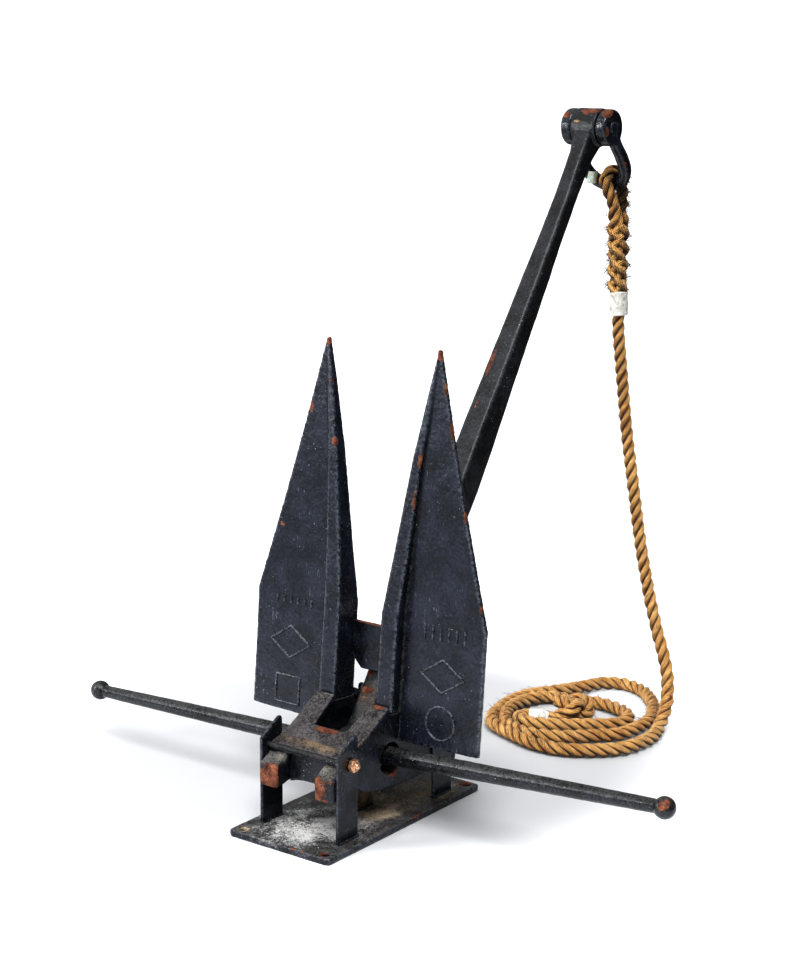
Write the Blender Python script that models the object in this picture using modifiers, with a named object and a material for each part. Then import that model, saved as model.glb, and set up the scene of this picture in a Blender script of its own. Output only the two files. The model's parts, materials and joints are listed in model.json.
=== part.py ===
"""Pivoting-fluke anchor on a welded display base, with a rope spliced to its shackle.

Metres, +Z up. The origin is the centre of the base plate's underside. X runs along
the stock, and Y points from the front of the base to its back.
"""
from math import acos, cos, pi, radians, sin

import bmesh
import bpy
from mathutils import Matrix, Vector

GAP = 0.0003  # clearance between pieces that touch

# Display base: a plate, four welded lugs and a block under the crown
PLATE_LENGTH, PLATE_WIDTH, PLATE_THICK = 0.436, 0.219, 0.012
PLATE_CORNER = 0.007
FLOOR_BOLT_X, FLOOR_BOLT_Y, FLOOR_BOLT_R = 0.0905, 0.202, 0.0072
LUG_INNER_X, LUG_THICK = 0.0798, 0.0052
LUG_OUTER_Y, LUG_INNER_Y = 0.163, 0.108
LUG_LOW_TOP, LUG_HIGH_TOP, LUG_CORNER = 0.166, 0.195, 0.009
LUG_BOLT_Y, LUG_BOLT_Z, LUG_BOLT_R = -0.126, 0.144, 0.006
NUT_ACROSS_FLATS, NUT_THICK, BOLT_PROUD = 0.0215, 0.0095, 0.008
BLOCK_HALF_X, BLOCK_FRONT_Y, BLOCK_BACK_Y = 0.015, -0.022, 0.024

# Crown and flukes, in a frame that leans back on the base: p back, q up the flukes
CROWN_AT = Vector((0, 0.00985, 0.120))
CROWN_LEAN = radians(-4.957)
CHEEK_INNER_X, CHEEK_OUTER_X, NOSE_INNER_X = 0.0455, 0.0795, 0.041
PALM_TOP = [
    (-0.1543, 0.0217),
    (-0.122, 0.0325),
    (-0.088, 0.0525),
    (-0.058, 0.0735),
    (-0.0303, 0.0925),
]
PALM_DROP = 0.014  # the palm's thickness, measured straight down
SLOT_END_P, SLOT_RIB_P = -0.0913, -0.020
SLOT_END_HALF, SLOT_RIB_HALF = 0.034, 0.041
NOSE_BACK_P, NOSE_BACK_TOP, NOSE_BACK_LOW = -0.128, 0.016, -0.0382
NOSE_FACE = [(-0.181, -0.0106), (-0.1772, -0.0505)]
CHEEK_FOOT = [(-0.110, -0.035), (-0.085, -0.0475), (-0.057, -0.0512)]
CHEEK_BOTTOM_Q = -0.0533
BORE_AT, BORE_R = (-0.0198, -0.0017), 0.028
LIP_R = 0.005
SLOT_CUTTER_DEPTH = 0.4
WALL_P, WALL_THICK, WALL_TOP_Q, WALL_LOW_Q, WALL_ARCH = -0.140, 0.008, 0.0107, -0.043, 0.008
BLADE_THICK = 0.0095
BLADE_OUTLINE = [
    (0.0798, 0.028),
    (0.247, 0.032),
    (0.2475, 0.247),
    (0.233, 0.295),
    (0.191, 0.4376),
    (0.156, 0.566),
    (0.1205, 0.7056),
    (0.1165, 0.7056),
    (0.107, 0.6344),
    (0.0945, 0.5139),
    (0.0785, 0.3483),
    (0.076, 0.0795),
    (0.0798, 0.0795),
]
# Each rib section: height q, inner x, outer x, reach forward, reach back
RIB_SECTIONS = [
    (0.0785, 0.0455, 0.0800, 0.0280, 0.0300),
    (0.2480, 0.0455, 0.0800, 0.0265, 0.0300),
    (0.3483, 0.0580, 0.0875, 0.0190, 0.0220),
    (0.5139, 0.0810, 0.1000, 0.0126, 0.0150),
    (0.6344, 0.1030, 0.1130, 0.0070, 0.0095),
    (0.7000, 0.1165, 0.1195, 0.0055, 0.0060),
]
BRIDGE_P, BRIDGE_THICK = 0.022, 0.008
BRIDGE_LOW_Q, BRIDGE_TOP_Q, BRIDGE_CHAMFER = 0.1325, 0.2158, 0.020

# Stock: a tapered rod, tilted and slightly bent in its loose bores
STOCK_Y, STOCK_MID_Z = -0.013, 0.122
STOCK_HALF = 0.6165
STOCK_RIGHT_Z, STOCK_LEFT_Z = 0.162, 0.103
ROD_MID_R, ROD_NEAR_R, ROD_END_R, ROD_NEAR_X = 0.0175, 0.0166, 0.0118, 0.070
BALL_R = 0.0186

# Shank, in a frame whose z runs up its length and whose y faces its underside
SHANK_AT = Vector((0, -0.011, 0.122))
SHANK_LEAN = radians(-35.18)
SHANK_LENGTH = 1.2734
# Each section: distance up the shank, half width, reach forward, reach back
SHANK_SECTIONS = [
    (0.000, 0.0225, 0.0190, 0.0340),
    (0.132, 0.0226, 0.0180, 0.0450),
    (0.519, 0.0254, 0.0156, 0.0451),
    (0.614, 0.0237, 0.0159, 0.0428),
    (0.699, 0.0234, 0.0151, 0.0368),
    (0.813, 0.0219, 0.0142, 0.0315),
    (0.951, 0.0202, 0.0137, 0.0262),
    (1.037, 0.0183, 0.0136, 0.0222),
    (1.124, 0.0174, 0.0148, 0.0200),
    (1.209, 0.0170, 0.0200, 0.0225),
    (1.262, 0.0215, 0.0290, 0.0290),
]
SHANK_CHAMFER = 0.0055
FOOT_R, HEAD_R, HEAD_HALF_X = 0.036, 0.036, 0.0267

# Shackle, hung from the shank's head and standing off plumb
SHACKLE_SWING = radians(33.9)
EAR_R, EAR_OUTER_X, LEG_TOP_X = 0.035, 0.050, 0.040
PIN_R, PIN_HALF = 0.012, 0.0515
BOW_R, BOW_HALF, BOW_WIDE_AT, BOW_DEPTH = 0.013, 0.046, 0.0826, 0.1365
LEG_TOP_AT, LEG_TOP_THINNING = 0.016, 0.12

# Rope: three-strand, 25 mm
ROPE_R = 0.0125
EYE_X, SPLICE_TOP, SPLICE_FOOT = 0.008, (0.017, 0.799, 0.998), (0.0245, 0.798, 0.842)
EYE_LEG_FLARES = [(GAP, 0.0), (0.010, 0.0), (0.020, 0.004)]  # height over the splice, spread
SPLICE_TOP_R, SPLICE_MID_R, SPLICE_FOOT_R = 0.0255, 0.0205, 0.0185
WHIPPING_LENGTH, WHIPPING_R = 0.048, 0.0192
# The rope's fall, from under the whipping to the first turn of the coil
FALL_ROUTE = [
    (0.0268, 0.7977, 0.7932),
    (0.0284, 0.7975, 0.7632),
    (0.043, 0.793, 0.668),
    (0.060, 0.788, 0.565),
    (0.084, 0.780, 0.456),
    (0.107, 0.772, 0.356),
    (0.134, 0.764, 0.260),
    (0.161, 0.756, 0.184),
    (0.178, 0.750, 0.147),
    (0.193, 0.743, 0.111),
    (0.202, 0.734, 0.080),
    (0.208, 0.721, 0.054),
    (0.212, 0.704, 0.034),
    (0.216, 0.684, 0.0195),
    (0.222, 0.660, 0.0131),
    (0.231, 0.629, 0.0128),
    (0.233, 0.598, 0.0128),
    (0.2281, 0.5568, 0.0128),
    (0.2142, 0.5242, 0.0128),
]
COIL_HEIGHT, COIL_EDGE = 0.0262, 0.009
# Outer side of the coil, round from the fall's end and back to it
COIL_OUTER = [
    (0.183, 0.473),
    (0.128, 0.4435),
    (0.069, 0.4405),
    (0.005, 0.458),
    (-0.066, 0.494),
    (-0.118, 0.594),
    (-0.1205, 0.684),
    (-0.082, 0.742),
    (-0.049, 0.804),
    (-0.024, 0.860),
    (0.022, 0.883),
    (0.085, 0.865),
    (0.142, 0.808),
    (0.169, 0.763),
    (0.1905, 0.712),
    (0.194, 0.665),
    (0.190, 0.605),
]
# Inner side of the coil, round the open middle
COIL_INNER = [
    (0.164, 0.655),
    (0.158, 0.612),
    (0.136, 0.580),
    (0.100, 0.538),
    (0.054, 0.512),
    (0.015, 0.508),
    (-0.022, 0.526),
    (-0.060, 0.583),
    (-0.070, 0.640),
    (-0.056, 0.700),
    (-0.050, 0.740),
    (-0.026, 0.792),
    (-0.005, 0.836),
    (0.026, 0.856),
    (0.073, 0.840),
    (0.120, 0.790),
    (0.146, 0.750),
    (0.164, 0.700),
]
# The rope inside the coil, from its second turn to the knot
TAIL_ROUTE = [
    (-0.0526, 0.7145),
    (-0.015, 0.715),
    (0.012, 0.723),
    (0.045, 0.732),
    (0.080, 0.730),
    (0.114, 0.716),
    (0.138, 0.694),
    (0.146, 0.667),
    (0.137, 0.641),
    (0.115, 0.620),
    (0.086, 0.598),
    (0.055, 0.574),
    (0.022, 0.555),
    (-0.008, 0.550),
    (-0.032, 0.565),
    (-0.036, 0.591),
    (-0.018, 0.611),
    (0.0016, 0.6203),
]
KNOT_AT, KNOT_SIZE = Vector((0.037, 0.651, 0.0262)), (0.047, 0.043, 0.0258)


# ---------------------------------------------------------------- helpers


def clear_scene():
    for item in list(bpy.data.objects):
        bpy.data.objects.remove(item, do_unlink=True)
    for group in list(bpy.data.collections):
        bpy.data.collections.remove(group)


def collection(name):
    group = bpy.data.collections.new(name)
    bpy.context.scene.collection.children.link(group)
    return group


def finish(name, colour, roughness, metallic):
    """A Principled material with the given colour and surface."""
    mat = bpy.data.materials.new(name)
    mat.use_nodes = True
    shader = mat.node_tree.nodes["Principled BSDF"]
    shader.inputs["Base Color"].default_value = (*colour, 1)
    shader.inputs["Roughness"].default_value = roughness
    shader.inputs["Metallic"].default_value = metallic
    return mat


def empty(name, location, turn_x=0.0, parent=None):
    item = bpy.data.objects.new(name, None)
    ANCHOR.objects.link(item)
    item.location = location
    item.rotation_euler = (turn_x, 0, 0)
    item.parent = parent
    return item


def add(name, mesh, surface, parent=None, group=None):
    item = bpy.data.objects.new(name, mesh)
    (group or ANCHOR).objects.link(item)
    item.data.materials.clear()
    item.data.materials.append(FINISHES[surface])
    item.parent = parent
    return item


def from_curve(name, curve):
    """The curve's surface as a mesh, with its caps joined on."""
    holder = bpy.data.objects.new(name, curve)
    bpy.context.scene.collection.objects.link(holder)
    graph = bpy.context.evaluated_depsgraph_get()
    mesh = bpy.data.meshes.new_from_object(holder.evaluated_get(graph))
    bpy.data.objects.remove(holder, do_unlink=True)
    shape = bmesh.new()
    shape.from_mesh(mesh)
    bmesh.ops.remove_doubles(shape, verts=shape.verts, dist=1e-6)
    bmesh.ops.recalc_face_normals(shape, faces=shape.faces)
    shape.to_mesh(mesh)
    shape.free()
    return mesh


def outline_mesh(name, loops, thickness):
    """Flat closed loops in x and y, filled and given a thickness about z = 0."""
    curve = bpy.data.curves.new(name, "CURVE")
    curve.dimensions = "2D"
    curve.fill_mode = "BOTH"
    curve.extrude = thickness / 2
    for loop in loops:
        spline = curve.splines.new("POLY")
        spline.points.add(len(loop) - 1)
        for point, (x, y) in zip(spline.points, loop):
            point.co = (x, y, 0, 1)
        spline.use_cyclic_u = True
    return from_curve(name, curve)


# Turns that stand an outline up: across x it is drawn in y and z, across y in x and z
ACROSS_X = Matrix(((0, 0, 1, 0), (1, 0, 0, 0), (0, 1, 0, 0), (0, 0, 0, 1)))
ACROSS_Y = Matrix(((1, 0, 0, 0), (0, 0, -1, 0), (0, 1, 0, 0), (0, 0, 0, 1)))


def plate(name, loops, thickness, surface, turn=None, at=(0, 0, 0), parent=None, group=None):
    mesh = outline_mesh(name, loops, thickness)
    mesh.transform(Matrix.Translation(at) @ (turn or Matrix()))
    return add(name, mesh, surface, parent, group)


def cylinder_mesh(name, radius, length, sides=48, axis="X"):
    mesh = bpy.data.meshes.new(name)
    shape = bmesh.new()
    bmesh.ops.create_cone(
        shape, cap_ends=True, segments=sides, radius1=radius, radius2=radius, depth=length
    )
    shape.to_mesh(mesh)
    shape.free()
    if axis == "X":
        mesh.transform(Matrix.Rotation(pi / 2, 4, "Y"))
    return mesh


def cylinder(name, radius, length, surface, at, parent=None, group=None, sides=48, axis="X"):
    item = add(name, cylinder_mesh(name, radius, length, sides, axis), surface, parent, group)
    item.location = at
    return smooth_edges(item)


def tube(name, points, radius, surface, parent=None, group=None, factors=None, rounding=3):
    """A round bar along the points, with closed ends."""
    curve = bpy.data.curves.new(name, "CURVE")
    curve.dimensions = "3D"
    curve.bevel_depth = radius
    curve.bevel_resolution = rounding
    curve.use_fill_caps = True
    spline = curve.splines.new("POLY")
    spline.points.add(len(points) - 1)
    for index, (point, place) in enumerate(zip(spline.points, points)):
        point.co = (*place, 1)
        point.radius = factors[index] if factors else 1.0
    return smooth_edges(add(name, from_curve(name, curve), surface, parent, group))


def turned(name, profile, surface, parent=None, steps=40):
    """A profile of (radius, height) pairs, from top to bottom, turned about z."""
    mesh = bpy.data.meshes.new(name)
    shape = bmesh.new()
    ring = [shape.verts.new((radius, 0, height)) for radius, height in profile]
    for upper, lower in zip(ring, ring[1:]):
        shape.edges.new((upper, lower))
    shape.to_mesh(mesh)
    shape.free()
    item = add(name, mesh, surface, parent)
    screw = item.modifiers.new("turn", "SCREW")
    screw.steps = screw.render_steps = steps
    screw.use_merge_vertices = True
    screw.merge_threshold = 1e-5
    return smooth_edges(item)


def loft(name, rings, surface, parent=None, group=None):
    """A closed body through rings that each hold the same number of points."""
    mesh = bpy.data.meshes.new(name)
    shape = bmesh.new()
    loops = [[shape.verts.new(point) for point in ring] for ring in rings]
    count = len(rings[0])
    for low, high in zip(loops, loops[1:]):
        for i in range(count):
            j = (i + 1) % count
            shape.faces.new((low[i], low[j], high[j], high[i]))
    shape.faces.new(loops[0])
    shape.faces.new(loops[-1])
    bmesh.ops.recalc_face_normals(shape, faces=shape.faces)
    shape.to_mesh(mesh)
    shape.free()
    return add(name, mesh, surface, parent, group)


def smooth_edges(item, limit=35):
    item.data.shade_smooth()
    item.data.set_sharp_from_angle(angle=radians(limit))
    return item


def soften(item, width, segments=1, limit=30):
    """Rounds the edges that are sharper than the limit."""
    bevel = item.modifiers.new("soften", "BEVEL")
    bevel.width = width
    bevel.segments = segments
    bevel.limit_method = "ANGLE"
    bevel.angle_limit = radians(limit)
    bevel.use_clamp_overlap = True
    return item


def combine(item, other, operation):
    """Adds or cuts another body, which is kept aside as a tool."""
    other.hide_render = True
    other.display_type = "WIRE"
    step = item.modifiers.new(other.name, "BOOLEAN")
    step.operation = operation
    step.solver = "EXACT"
    step.object = other
    return item


def smooth_line(points, steps, closed=False):
    """Points along a Catmull-Rom curve through the given ones."""
    nodes = [Vector(p) for p in points]
    count = len(nodes)
    line = []
    spans = count if closed else count - 1
    for i in range(spans):
        if closed:
            a, b, c, d = (nodes[(i + k) % count] for k in (-1, 0, 1, 2))
        else:
            a, b, c, d = (nodes[min(max(i + k, 0), count - 1)] for k in (-1, 0, 1, 2))
        for step in range(steps):
            t = step / steps
            line.append(
                0.5 * (2 * b + (c - a) * t + (2 * a - 5 * b + 4 * c - d) * t**2
                       + (3 * b - a - 3 * c + d) * t**3)
            )
    if not closed:
        line.append(nodes[-1])
    return [tuple(point) for point in line]


def mirrored(points):
    """The same outline on the other side of the first coordinate, in turning order."""
    return [(-a, b) for a, b in reversed(points)]


def sided(outline, side):
    """An outline drawn for the right side, flipped for the left one."""
    return outline if side > 0 else mirrored(outline)


# ---------------------------------------------------------------- display base


def base_plate():
    x, y, c = PLATE_WIDTH / 2, PLATE_LENGTH / 2, PLATE_CORNER
    corners = [(x - c, y - c, 0), (c - x, y - c, 90), (c - x, c - y, 180), (x - c, c - y, 270)]
    rim = []
    for cx, cy, start in corners:
        for step in range(4):
            turn = radians(start + 30 * step)
            rim.append((cx + c * cos(turn), cy + c * sin(turn)))
    item = plate("base_plate", [rim], PLATE_THICK, "base", at=(0, 0, PLATE_THICK / 2))
    for i, (sx, sy) in enumerate(((-1, -1), (1, -1), (-1, 1), (1, 1))):
        at = (sx * FLOOR_BOLT_X, sy * FLOOR_BOLT_Y, PLATE_THICK / 2)
        drill = cylinder(f"floor_bolt_drill_{i}", FLOOR_BOLT_R, 2 * PLATE_THICK, "base", at,
                         group=CUTTERS, sides=24, axis="Z")
        combine(item, drill, "DIFFERENCE")
    return item


def lug_outline(end):
    """Side of one lug, for the front (end -1) or the back (end 1) of the base."""
    foot = PLATE_THICK + GAP
    c = LUG_CORNER
    outline = [
        (-LUG_OUTER_Y, foot),
        (-LUG_INNER_Y, foot),
        (-LUG_INNER_Y, LUG_HIGH_TOP - c),
        (-LUG_INNER_Y - 0.3 * c, LUG_HIGH_TOP - 0.3 * c),
        (-LUG_INNER_Y - c, LUG_HIGH_TOP - 0.25 * c),
        (-LUG_OUTER_Y, LUG_LOW_TOP),
    ]
    return outline if end < 0 else mirrored(outline)


def lugs():
    for end, place in ((-1, "front"), (1, "rear")):
        for side, hand in ((-1, "left"), (1, "right")):
            x = side * (LUG_INNER_X + LUG_THICK / 2)
            item = plate(f"lug_{place}_{hand}", [lug_outline(end)], LUG_THICK, "paint",
                         turn=ACROSS_X, at=(x, 0, 0))
            if end < 0:
                drill = cylinder(f"lug_drill_{hand}", LUG_BOLT_R + GAP, 4 * LUG_THICK, "bolt",
                                 (x, LUG_BOLT_Y, LUG_BOLT_Z), group=CUTTERS, sides=32)
                combine(item, drill, "DIFFERENCE")


def lug_bolts():
    """A bolt end and its nut on the outside of each front lug."""
    face = LUG_INNER_X + LUG_THICK
    for side, hand in ((-1, "left"), (1, "right")):
        at = (side * LUG_INNER_X, LUG_BOLT_Y, LUG_BOLT_Z)
        tip = face - LUG_INNER_X + NUT_THICK + BOLT_PROUD
        r = LUG_BOLT_R
        bolt = turned(f"lug_bolt_{hand}", [(0, tip), (0.6 * r, tip - 0.001), (0.93 * r, tip - 0.003),
                                           (r, tip - 0.005), (r, GAP), (0, GAP)], "bolt", steps=28)
        bolt.rotation_euler = (0, side * pi / 2, 0)
        bolt.location = at
        nut_at = (side * (face + GAP + NUT_THICK / 2), LUG_BOLT_Y, LUG_BOLT_Z)
        nut = cylinder(f"lug_nut_{hand}", NUT_ACROSS_FLATS / 3**0.5, NUT_THICK, "bolt", nut_at, sides=6)
        drill = cylinder(f"nut_drill_{hand}", r + GAP, 2 * NUT_THICK, "bolt", nut_at, group=CUTTERS,
                         sides=32)
        combine(soften(nut, 0.001), drill, "DIFFERENCE")


def support_block():
    """Block welded to the plate, carrying the round foot of the shank."""
    low, high = PLATE_THICK + GAP, SHANK_AT.z - FOOT_R - GAP
    front, back = BLOCK_FRONT_Y, BLOCK_BACK_Y
    outline = [(front, low), (back, low), (back, high), (front, high)]
    return plate("support_block", [outline], 2 * BLOCK_HALF_X, "debris", turn=ACROSS_X)


# ---------------------------------------------------------------- crown


def under_palm(drop):
    return [(p, q - drop) for p, q in PALM_TOP]


def palm(end, place):
    outline = PALM_TOP + list(reversed(under_palm(PALM_DROP)))
    slot = [(-SLOT_END_HALF, SLOT_END_P), (SLOT_END_HALF, SLOT_END_P),
            (SLOT_RIB_HALF, SLOT_RIB_P), (-SLOT_RIB_HALF, SLOT_RIB_P)]
    if end > 0:
        outline = mirrored(outline)
        slot = [(x, -p) for x, p in reversed(slot)]
    item = plate(f"palm_{place}", [outline], 2 * CHEEK_OUTER_X, "rough_paint", turn=ACROSS_X,
                 parent=CROWN)
    cutter = plate(f"palm_slot_{place}", [slot], SLOT_CUTTER_DEPTH, "rough_paint", parent=CROWN,
                   group=CUTTERS)
    return combine(item, cutter, "DIFFERENCE")


def lip(end, place):
    p, q = PALM_TOP[0]
    at = (0, -end * (p - LIP_R - GAP), q - 0.6 * LIP_R)
    return cylinder(f"palm_lip_{place}", LIP_R, 2 * CHEEK_OUTER_X, "rough_paint", at, parent=CROWN,
                    sides=20)


def nose_outline():
    top = [point for point in under_palm(PALM_DROP + GAP) if point[0] < NOSE_BACK_P]
    return [(NOSE_BACK_P, NOSE_BACK_TOP), *reversed(top), *NOSE_FACE, (NOSE_BACK_P, NOSE_BACK_LOW)]


def nose(end, place, side, hand):
    width = CHEEK_OUTER_X - NOSE_INNER_X
    outline = nose_outline() if end < 0 else mirrored(nose_outline())
    item = plate(f"nose_{place}_{hand}", [outline], width, "rust", turn=ACROSS_X,
                 at=(side * (NOSE_INNER_X + width / 2), 0, 0), parent=CROWN)
    return soften(item, 0.0025)


def cheek_outline():
    start = NOSE_BACK_P + GAP
    top = [point for point in under_palm(PALM_DROP + GAP) if point[0] > start]
    half = [*reversed(top), (start, NOSE_BACK_TOP), (start, NOSE_BACK_LOW), *CHEEK_FOOT]
    return [*half, (0, CHEEK_BOTTOM_Q), *mirrored(half)]


def cheek(side, hand):
    width = CHEEK_OUTER_X - CHEEK_INNER_X
    x = side * (CHEEK_INNER_X + width / 2)
    item = plate(f"crown_cheek_{hand}", [cheek_outline()], width, "paint", turn=ACROSS_X,
                 at=(x, 0, 0), parent=CROWN)
    bore = cylinder(f"cheek_bore_{hand}", BORE_R, 2 * width, "paint", (x, *BORE_AT), parent=CROWN,
                    group=CUTTERS)
    return combine(item, bore, "DIFFERENCE")


def crown_wall(end, place):
    half = NOSE_INNER_X - GAP
    steps = 8
    arch = []
    for i in range(steps + 1):
        along = -half + 2 * half * i / steps
        rise = WALL_ARCH * (1 - (along / half) ** 2)
        arch.append((along, WALL_LOW_Q + rise))
    outline = [*arch, (half, WALL_TOP_Q), (-half, WALL_TOP_Q)]
    return plate(f"crown_wall_{place}", [outline], WALL_THICK, "rough_paint", turn=ACROSS_Y,
                 at=(0, -end * WALL_P, 0), parent=CROWN)


def crown():
    for end, place in ((-1, "front"), (1, "rear")):
        palm(end, place)
        lip(end, place)
        crown_wall(end, place)
        for side, hand in ((-1, "left"), (1, "right")):
            nose(end, place, side, hand)
    for side, hand in ((-1, "left"), (1, "right")):
        cheek(side, hand)


# ---------------------------------------------------------------- flukes


def rib(side, hand):
    rings = []
    for q, inner, outer, front, back in RIB_SECTIONS:
        rings.append([(side * inner, -front, q), (side * outer, -front, q),
                      (side * outer, back, q), (side * inner, back, q)])
    item = loft(f"rib_{hand}", rings, "paint", parent=CROWN, group=CUTTERS)
    return soften(item, 0.002)


def fluke(side, hand):
    """A flat blade with the rib that runs up its inner edge."""
    item = plate(f"fluke_{hand}", [sided(BLADE_OUTLINE, side)], BLADE_THICK, "paint", turn=ACROSS_Y,
                 parent=CROWN)
    return combine(item, rib(side, hand), "UNION")


def flukes():
    for side, hand in ((-1, "left"), (1, "right")):
        fluke(side, hand)


def bridge_plate():
    x, low, top, c = CHEEK_INNER_X - GAP, BRIDGE_LOW_Q, BRIDGE_TOP_Q, BRIDGE_CHAMFER
    outline = [(c - x, low), (x, low), (x, top), (-x, top), (-x, low + c)]
    return plate("bridge_plate", [outline], BRIDGE_THICK, "rust", turn=ACROSS_Y, at=(0, BRIDGE_P, 0),
                 parent=CROWN)


# ---------------------------------------------------------------- stock


def stock_points():
    """Centre line of the rod, with its radius at each point."""
    ends = {-1: STOCK_LEFT_Z, 1: STOCK_RIGHT_Z}
    points = []
    for side in (-1, 1):
        slope = (ends[side] - STOCK_MID_Z) / STOCK_HALF
        seat = (BALL_R**2 - ROD_END_R**2) ** 0.5 + GAP
        reach = STOCK_HALF - seat / (1 + slope**2) ** 0.5
        for x, r in ((reach, ROD_END_R), (ROD_NEAR_X, ROD_NEAR_R)):
            points.append((side * x, STOCK_Y, STOCK_MID_Z + slope * x, r))
    points.append((0, STOCK_Y, STOCK_MID_Z, ROD_MID_R))
    return sorted(points)


def stock_rod(name, surface, extra=0.0, group=None):
    points = stock_points()
    places = [point[:3] for point in points]
    factors = [(point[3] + extra) / ROD_MID_R for point in points]
    return tube(name, places, ROD_MID_R, surface, group=group, factors=factors, rounding=6)


def stock():
    stock_rod("stock_rod", "paint")
    for side, hand in ((-1, "left"), (1, "right")):
        stock_ball(side, hand)


def stock_ball(side, hand):
    """A ball with a flat seat where the rod's end meets it."""
    start = acos((1 - (ROD_END_R / BALL_R) ** 2) ** 0.5)
    steps = 12
    profile = [(0, BALL_R * cos(start))]
    for i in range(steps + 1):
        turn = start + (pi - start) * i / steps
        profile.append((BALL_R * sin(turn), BALL_R * cos(turn)))
    profile[-1] = (0, -BALL_R)
    item = turned(f"stock_ball_{hand}", profile, "paint", steps=28)
    end_z = STOCK_RIGHT_Z if side > 0 else STOCK_LEFT_Z
    inward = Vector((-side * STOCK_HALF, 0, STOCK_MID_Z - end_z))
    item.rotation_euler = inward.to_track_quat("Z", "Y").to_euler()
    item.location = (side * STOCK_HALF, STOCK_Y, end_z)
    return item


# ---------------------------------------------------------------- shank


def shank():
    """Tapered bar from the stock to the shackle, with a round foot and a barrel head."""
    rings = []
    c = SHANK_CHAMFER
    for s, x, front, back in SHANK_SECTIONS:
        rings.append([(x, c - front, s), (x - c, -front, s), (c - x, -front, s), (-x, c - front, s),
                      (-x, back - c, s), (c - x, back, s), (x - c, back, s), (x, back - c, s)])
    item = loft("shank", rings, "paint", parent=SHANK)
    foot_width = 2 * SHANK_SECTIONS[0][1]
    foot = cylinder("shank_foot", FOOT_R, foot_width, "paint", (0, 0, 0), parent=SHANK, group=CUTTERS)
    head = cylinder("shank_head", HEAD_R, 2 * HEAD_HALF_X, "paint", (0, 0, SHANK_LENGTH), parent=SHANK,
                    group=CUTTERS)
    pin_bore = cylinder("pin_bore", PIN_R + GAP, 4 * HEAD_HALF_X, "paint", (0, 0, SHANK_LENGTH),
                        parent=SHANK, group=CUTTERS)
    combine(item, foot, "UNION")
    combine(item, head, "UNION")
    combine(item, pin_bore, "DIFFERENCE")
    combine(item, stock_rod("stock_bore", "paint", GAP, CUTTERS), "DIFFERENCE")
    return smooth_edges(item)


# ---------------------------------------------------------------- shackle


def bow_line():
    """Centre line of the bow, ear to ear, with the bar's thickness factor."""
    line = []
    legs = 6
    for i in range(legs):
        t = i / legs
        ease = 0.5 - 0.5 * cos(pi * t)
        x = LEG_TOP_X + (BOW_HALF - LEG_TOP_X) * ease
        depth = LEG_TOP_AT + (BOW_WIDE_AT - LEG_TOP_AT) * t
        line.append((x, -depth, 1 - LEG_TOP_THINNING * (1 - t) ** 2))
    arc = 9
    for i in range(arc + 1):
        turn = pi / 2 * i / arc
        depth = BOW_WIDE_AT + (BOW_DEPTH - BOW_WIDE_AT) * sin(turn)
        line.append((BOW_HALF * cos(turn), -depth, 1.0))
    return line + [(-x, z, f) for x, z, f in reversed(line[:-1])]


def shackle():
    line = bow_line()
    item = tube("shackle_bow", [(x, 0, z) for x, z, f in line], BOW_R, "paint", parent=SHACKLE,
                factors=[f for x, z, f in line], rounding=4)
    inner = HEAD_HALF_X + GAP
    for side, hand in ((-1, "left"), (1, "right")):
        middle = side * (inner + EAR_OUTER_X) / 2
        ear = cylinder(f"ear_{hand}", EAR_R, EAR_OUTER_X - inner, "paint", (middle, 0, 0),
                       parent=SHACKLE, group=CUTTERS)
        soften(ear, 0.003)
        combine(item, ear, "UNION")
    bore = cylinder("ear_bore", PIN_R + GAP, 4 * EAR_OUTER_X, "paint", (0, 0, 0), parent=SHACKLE,
                    group=CUTTERS)
    combine(item, bore, "DIFFERENCE")
    pin = cylinder("shackle_pin", PIN_R, 2 * PIN_HALF, "paint", (0, 0, 0), parent=SHACKLE)
    soften(pin, 0.002)
    return smooth_edges(item)


# ---------------------------------------------------------------- rope


def eye_seat():
    """Middle of the bow's bar where the eye goes round it, and the way the bar runs there."""
    drop = BOW_DEPTH - BOW_WIDE_AT
    bend = (1 - (EYE_X / BOW_HALF) ** 2) ** 0.5
    down_bow = Vector((0, sin(SHACKLE_SWING), -cos(SHACKLE_SWING)))
    middle = HEAD_AT + Vector((EYE_X, 0, 0)) + down_bow * (BOW_WIDE_AT + drop * bend)
    slope = drop * EYE_X / BOW_HALF**2 / bend
    return middle, (Vector((1, 0, 0)) - down_bow * slope).normalized()


def rope_eye():
    """The spliced eye: up one side of the bow's bar, square over it and down the other."""
    middle, bar_way = eye_seat()
    over = (Vector((0, 0, 1)) - bar_way * bar_way.z).normalized()
    across = over.cross(bar_way)
    r = BOW_R + ROPE_R + 3 * GAP
    foot = Vector(SPLICE_TOP)
    up = (foot - Vector(SPLICE_FOOT)).normalized()
    back = Vector((0, 1, 0))
    legs = [(up * rise, back * (ROPE_R + GAP / 2 + spread)) for rise, spread in EYE_LEG_FLARES]
    line = [foot + rise - spread for rise, spread in legs]
    steps = 14
    for i in range(steps + 1):
        turn = pi * i / steps
        line.append(middle + (over * sin(turn) - across * cos(turn)) * r)
    line += [foot + rise + spread for rise, spread in reversed(legs)]
    return tube("rope_eye", [point - HEAD_AT for point in line], ROPE_R, "rope", parent=SHACKLE_AXIS)


def along(name, profile, low, high, surface, parent, origin):
    """A turned piece standing between two points, its profile given from the lower one."""
    low, high = Vector(low), Vector(high)
    item = turned(name, profile, surface, parent=parent, steps=24)
    item.rotation_euler = (high - low).to_track_quat("Z", "Y").to_euler()
    item.location = low - origin
    return item


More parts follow.
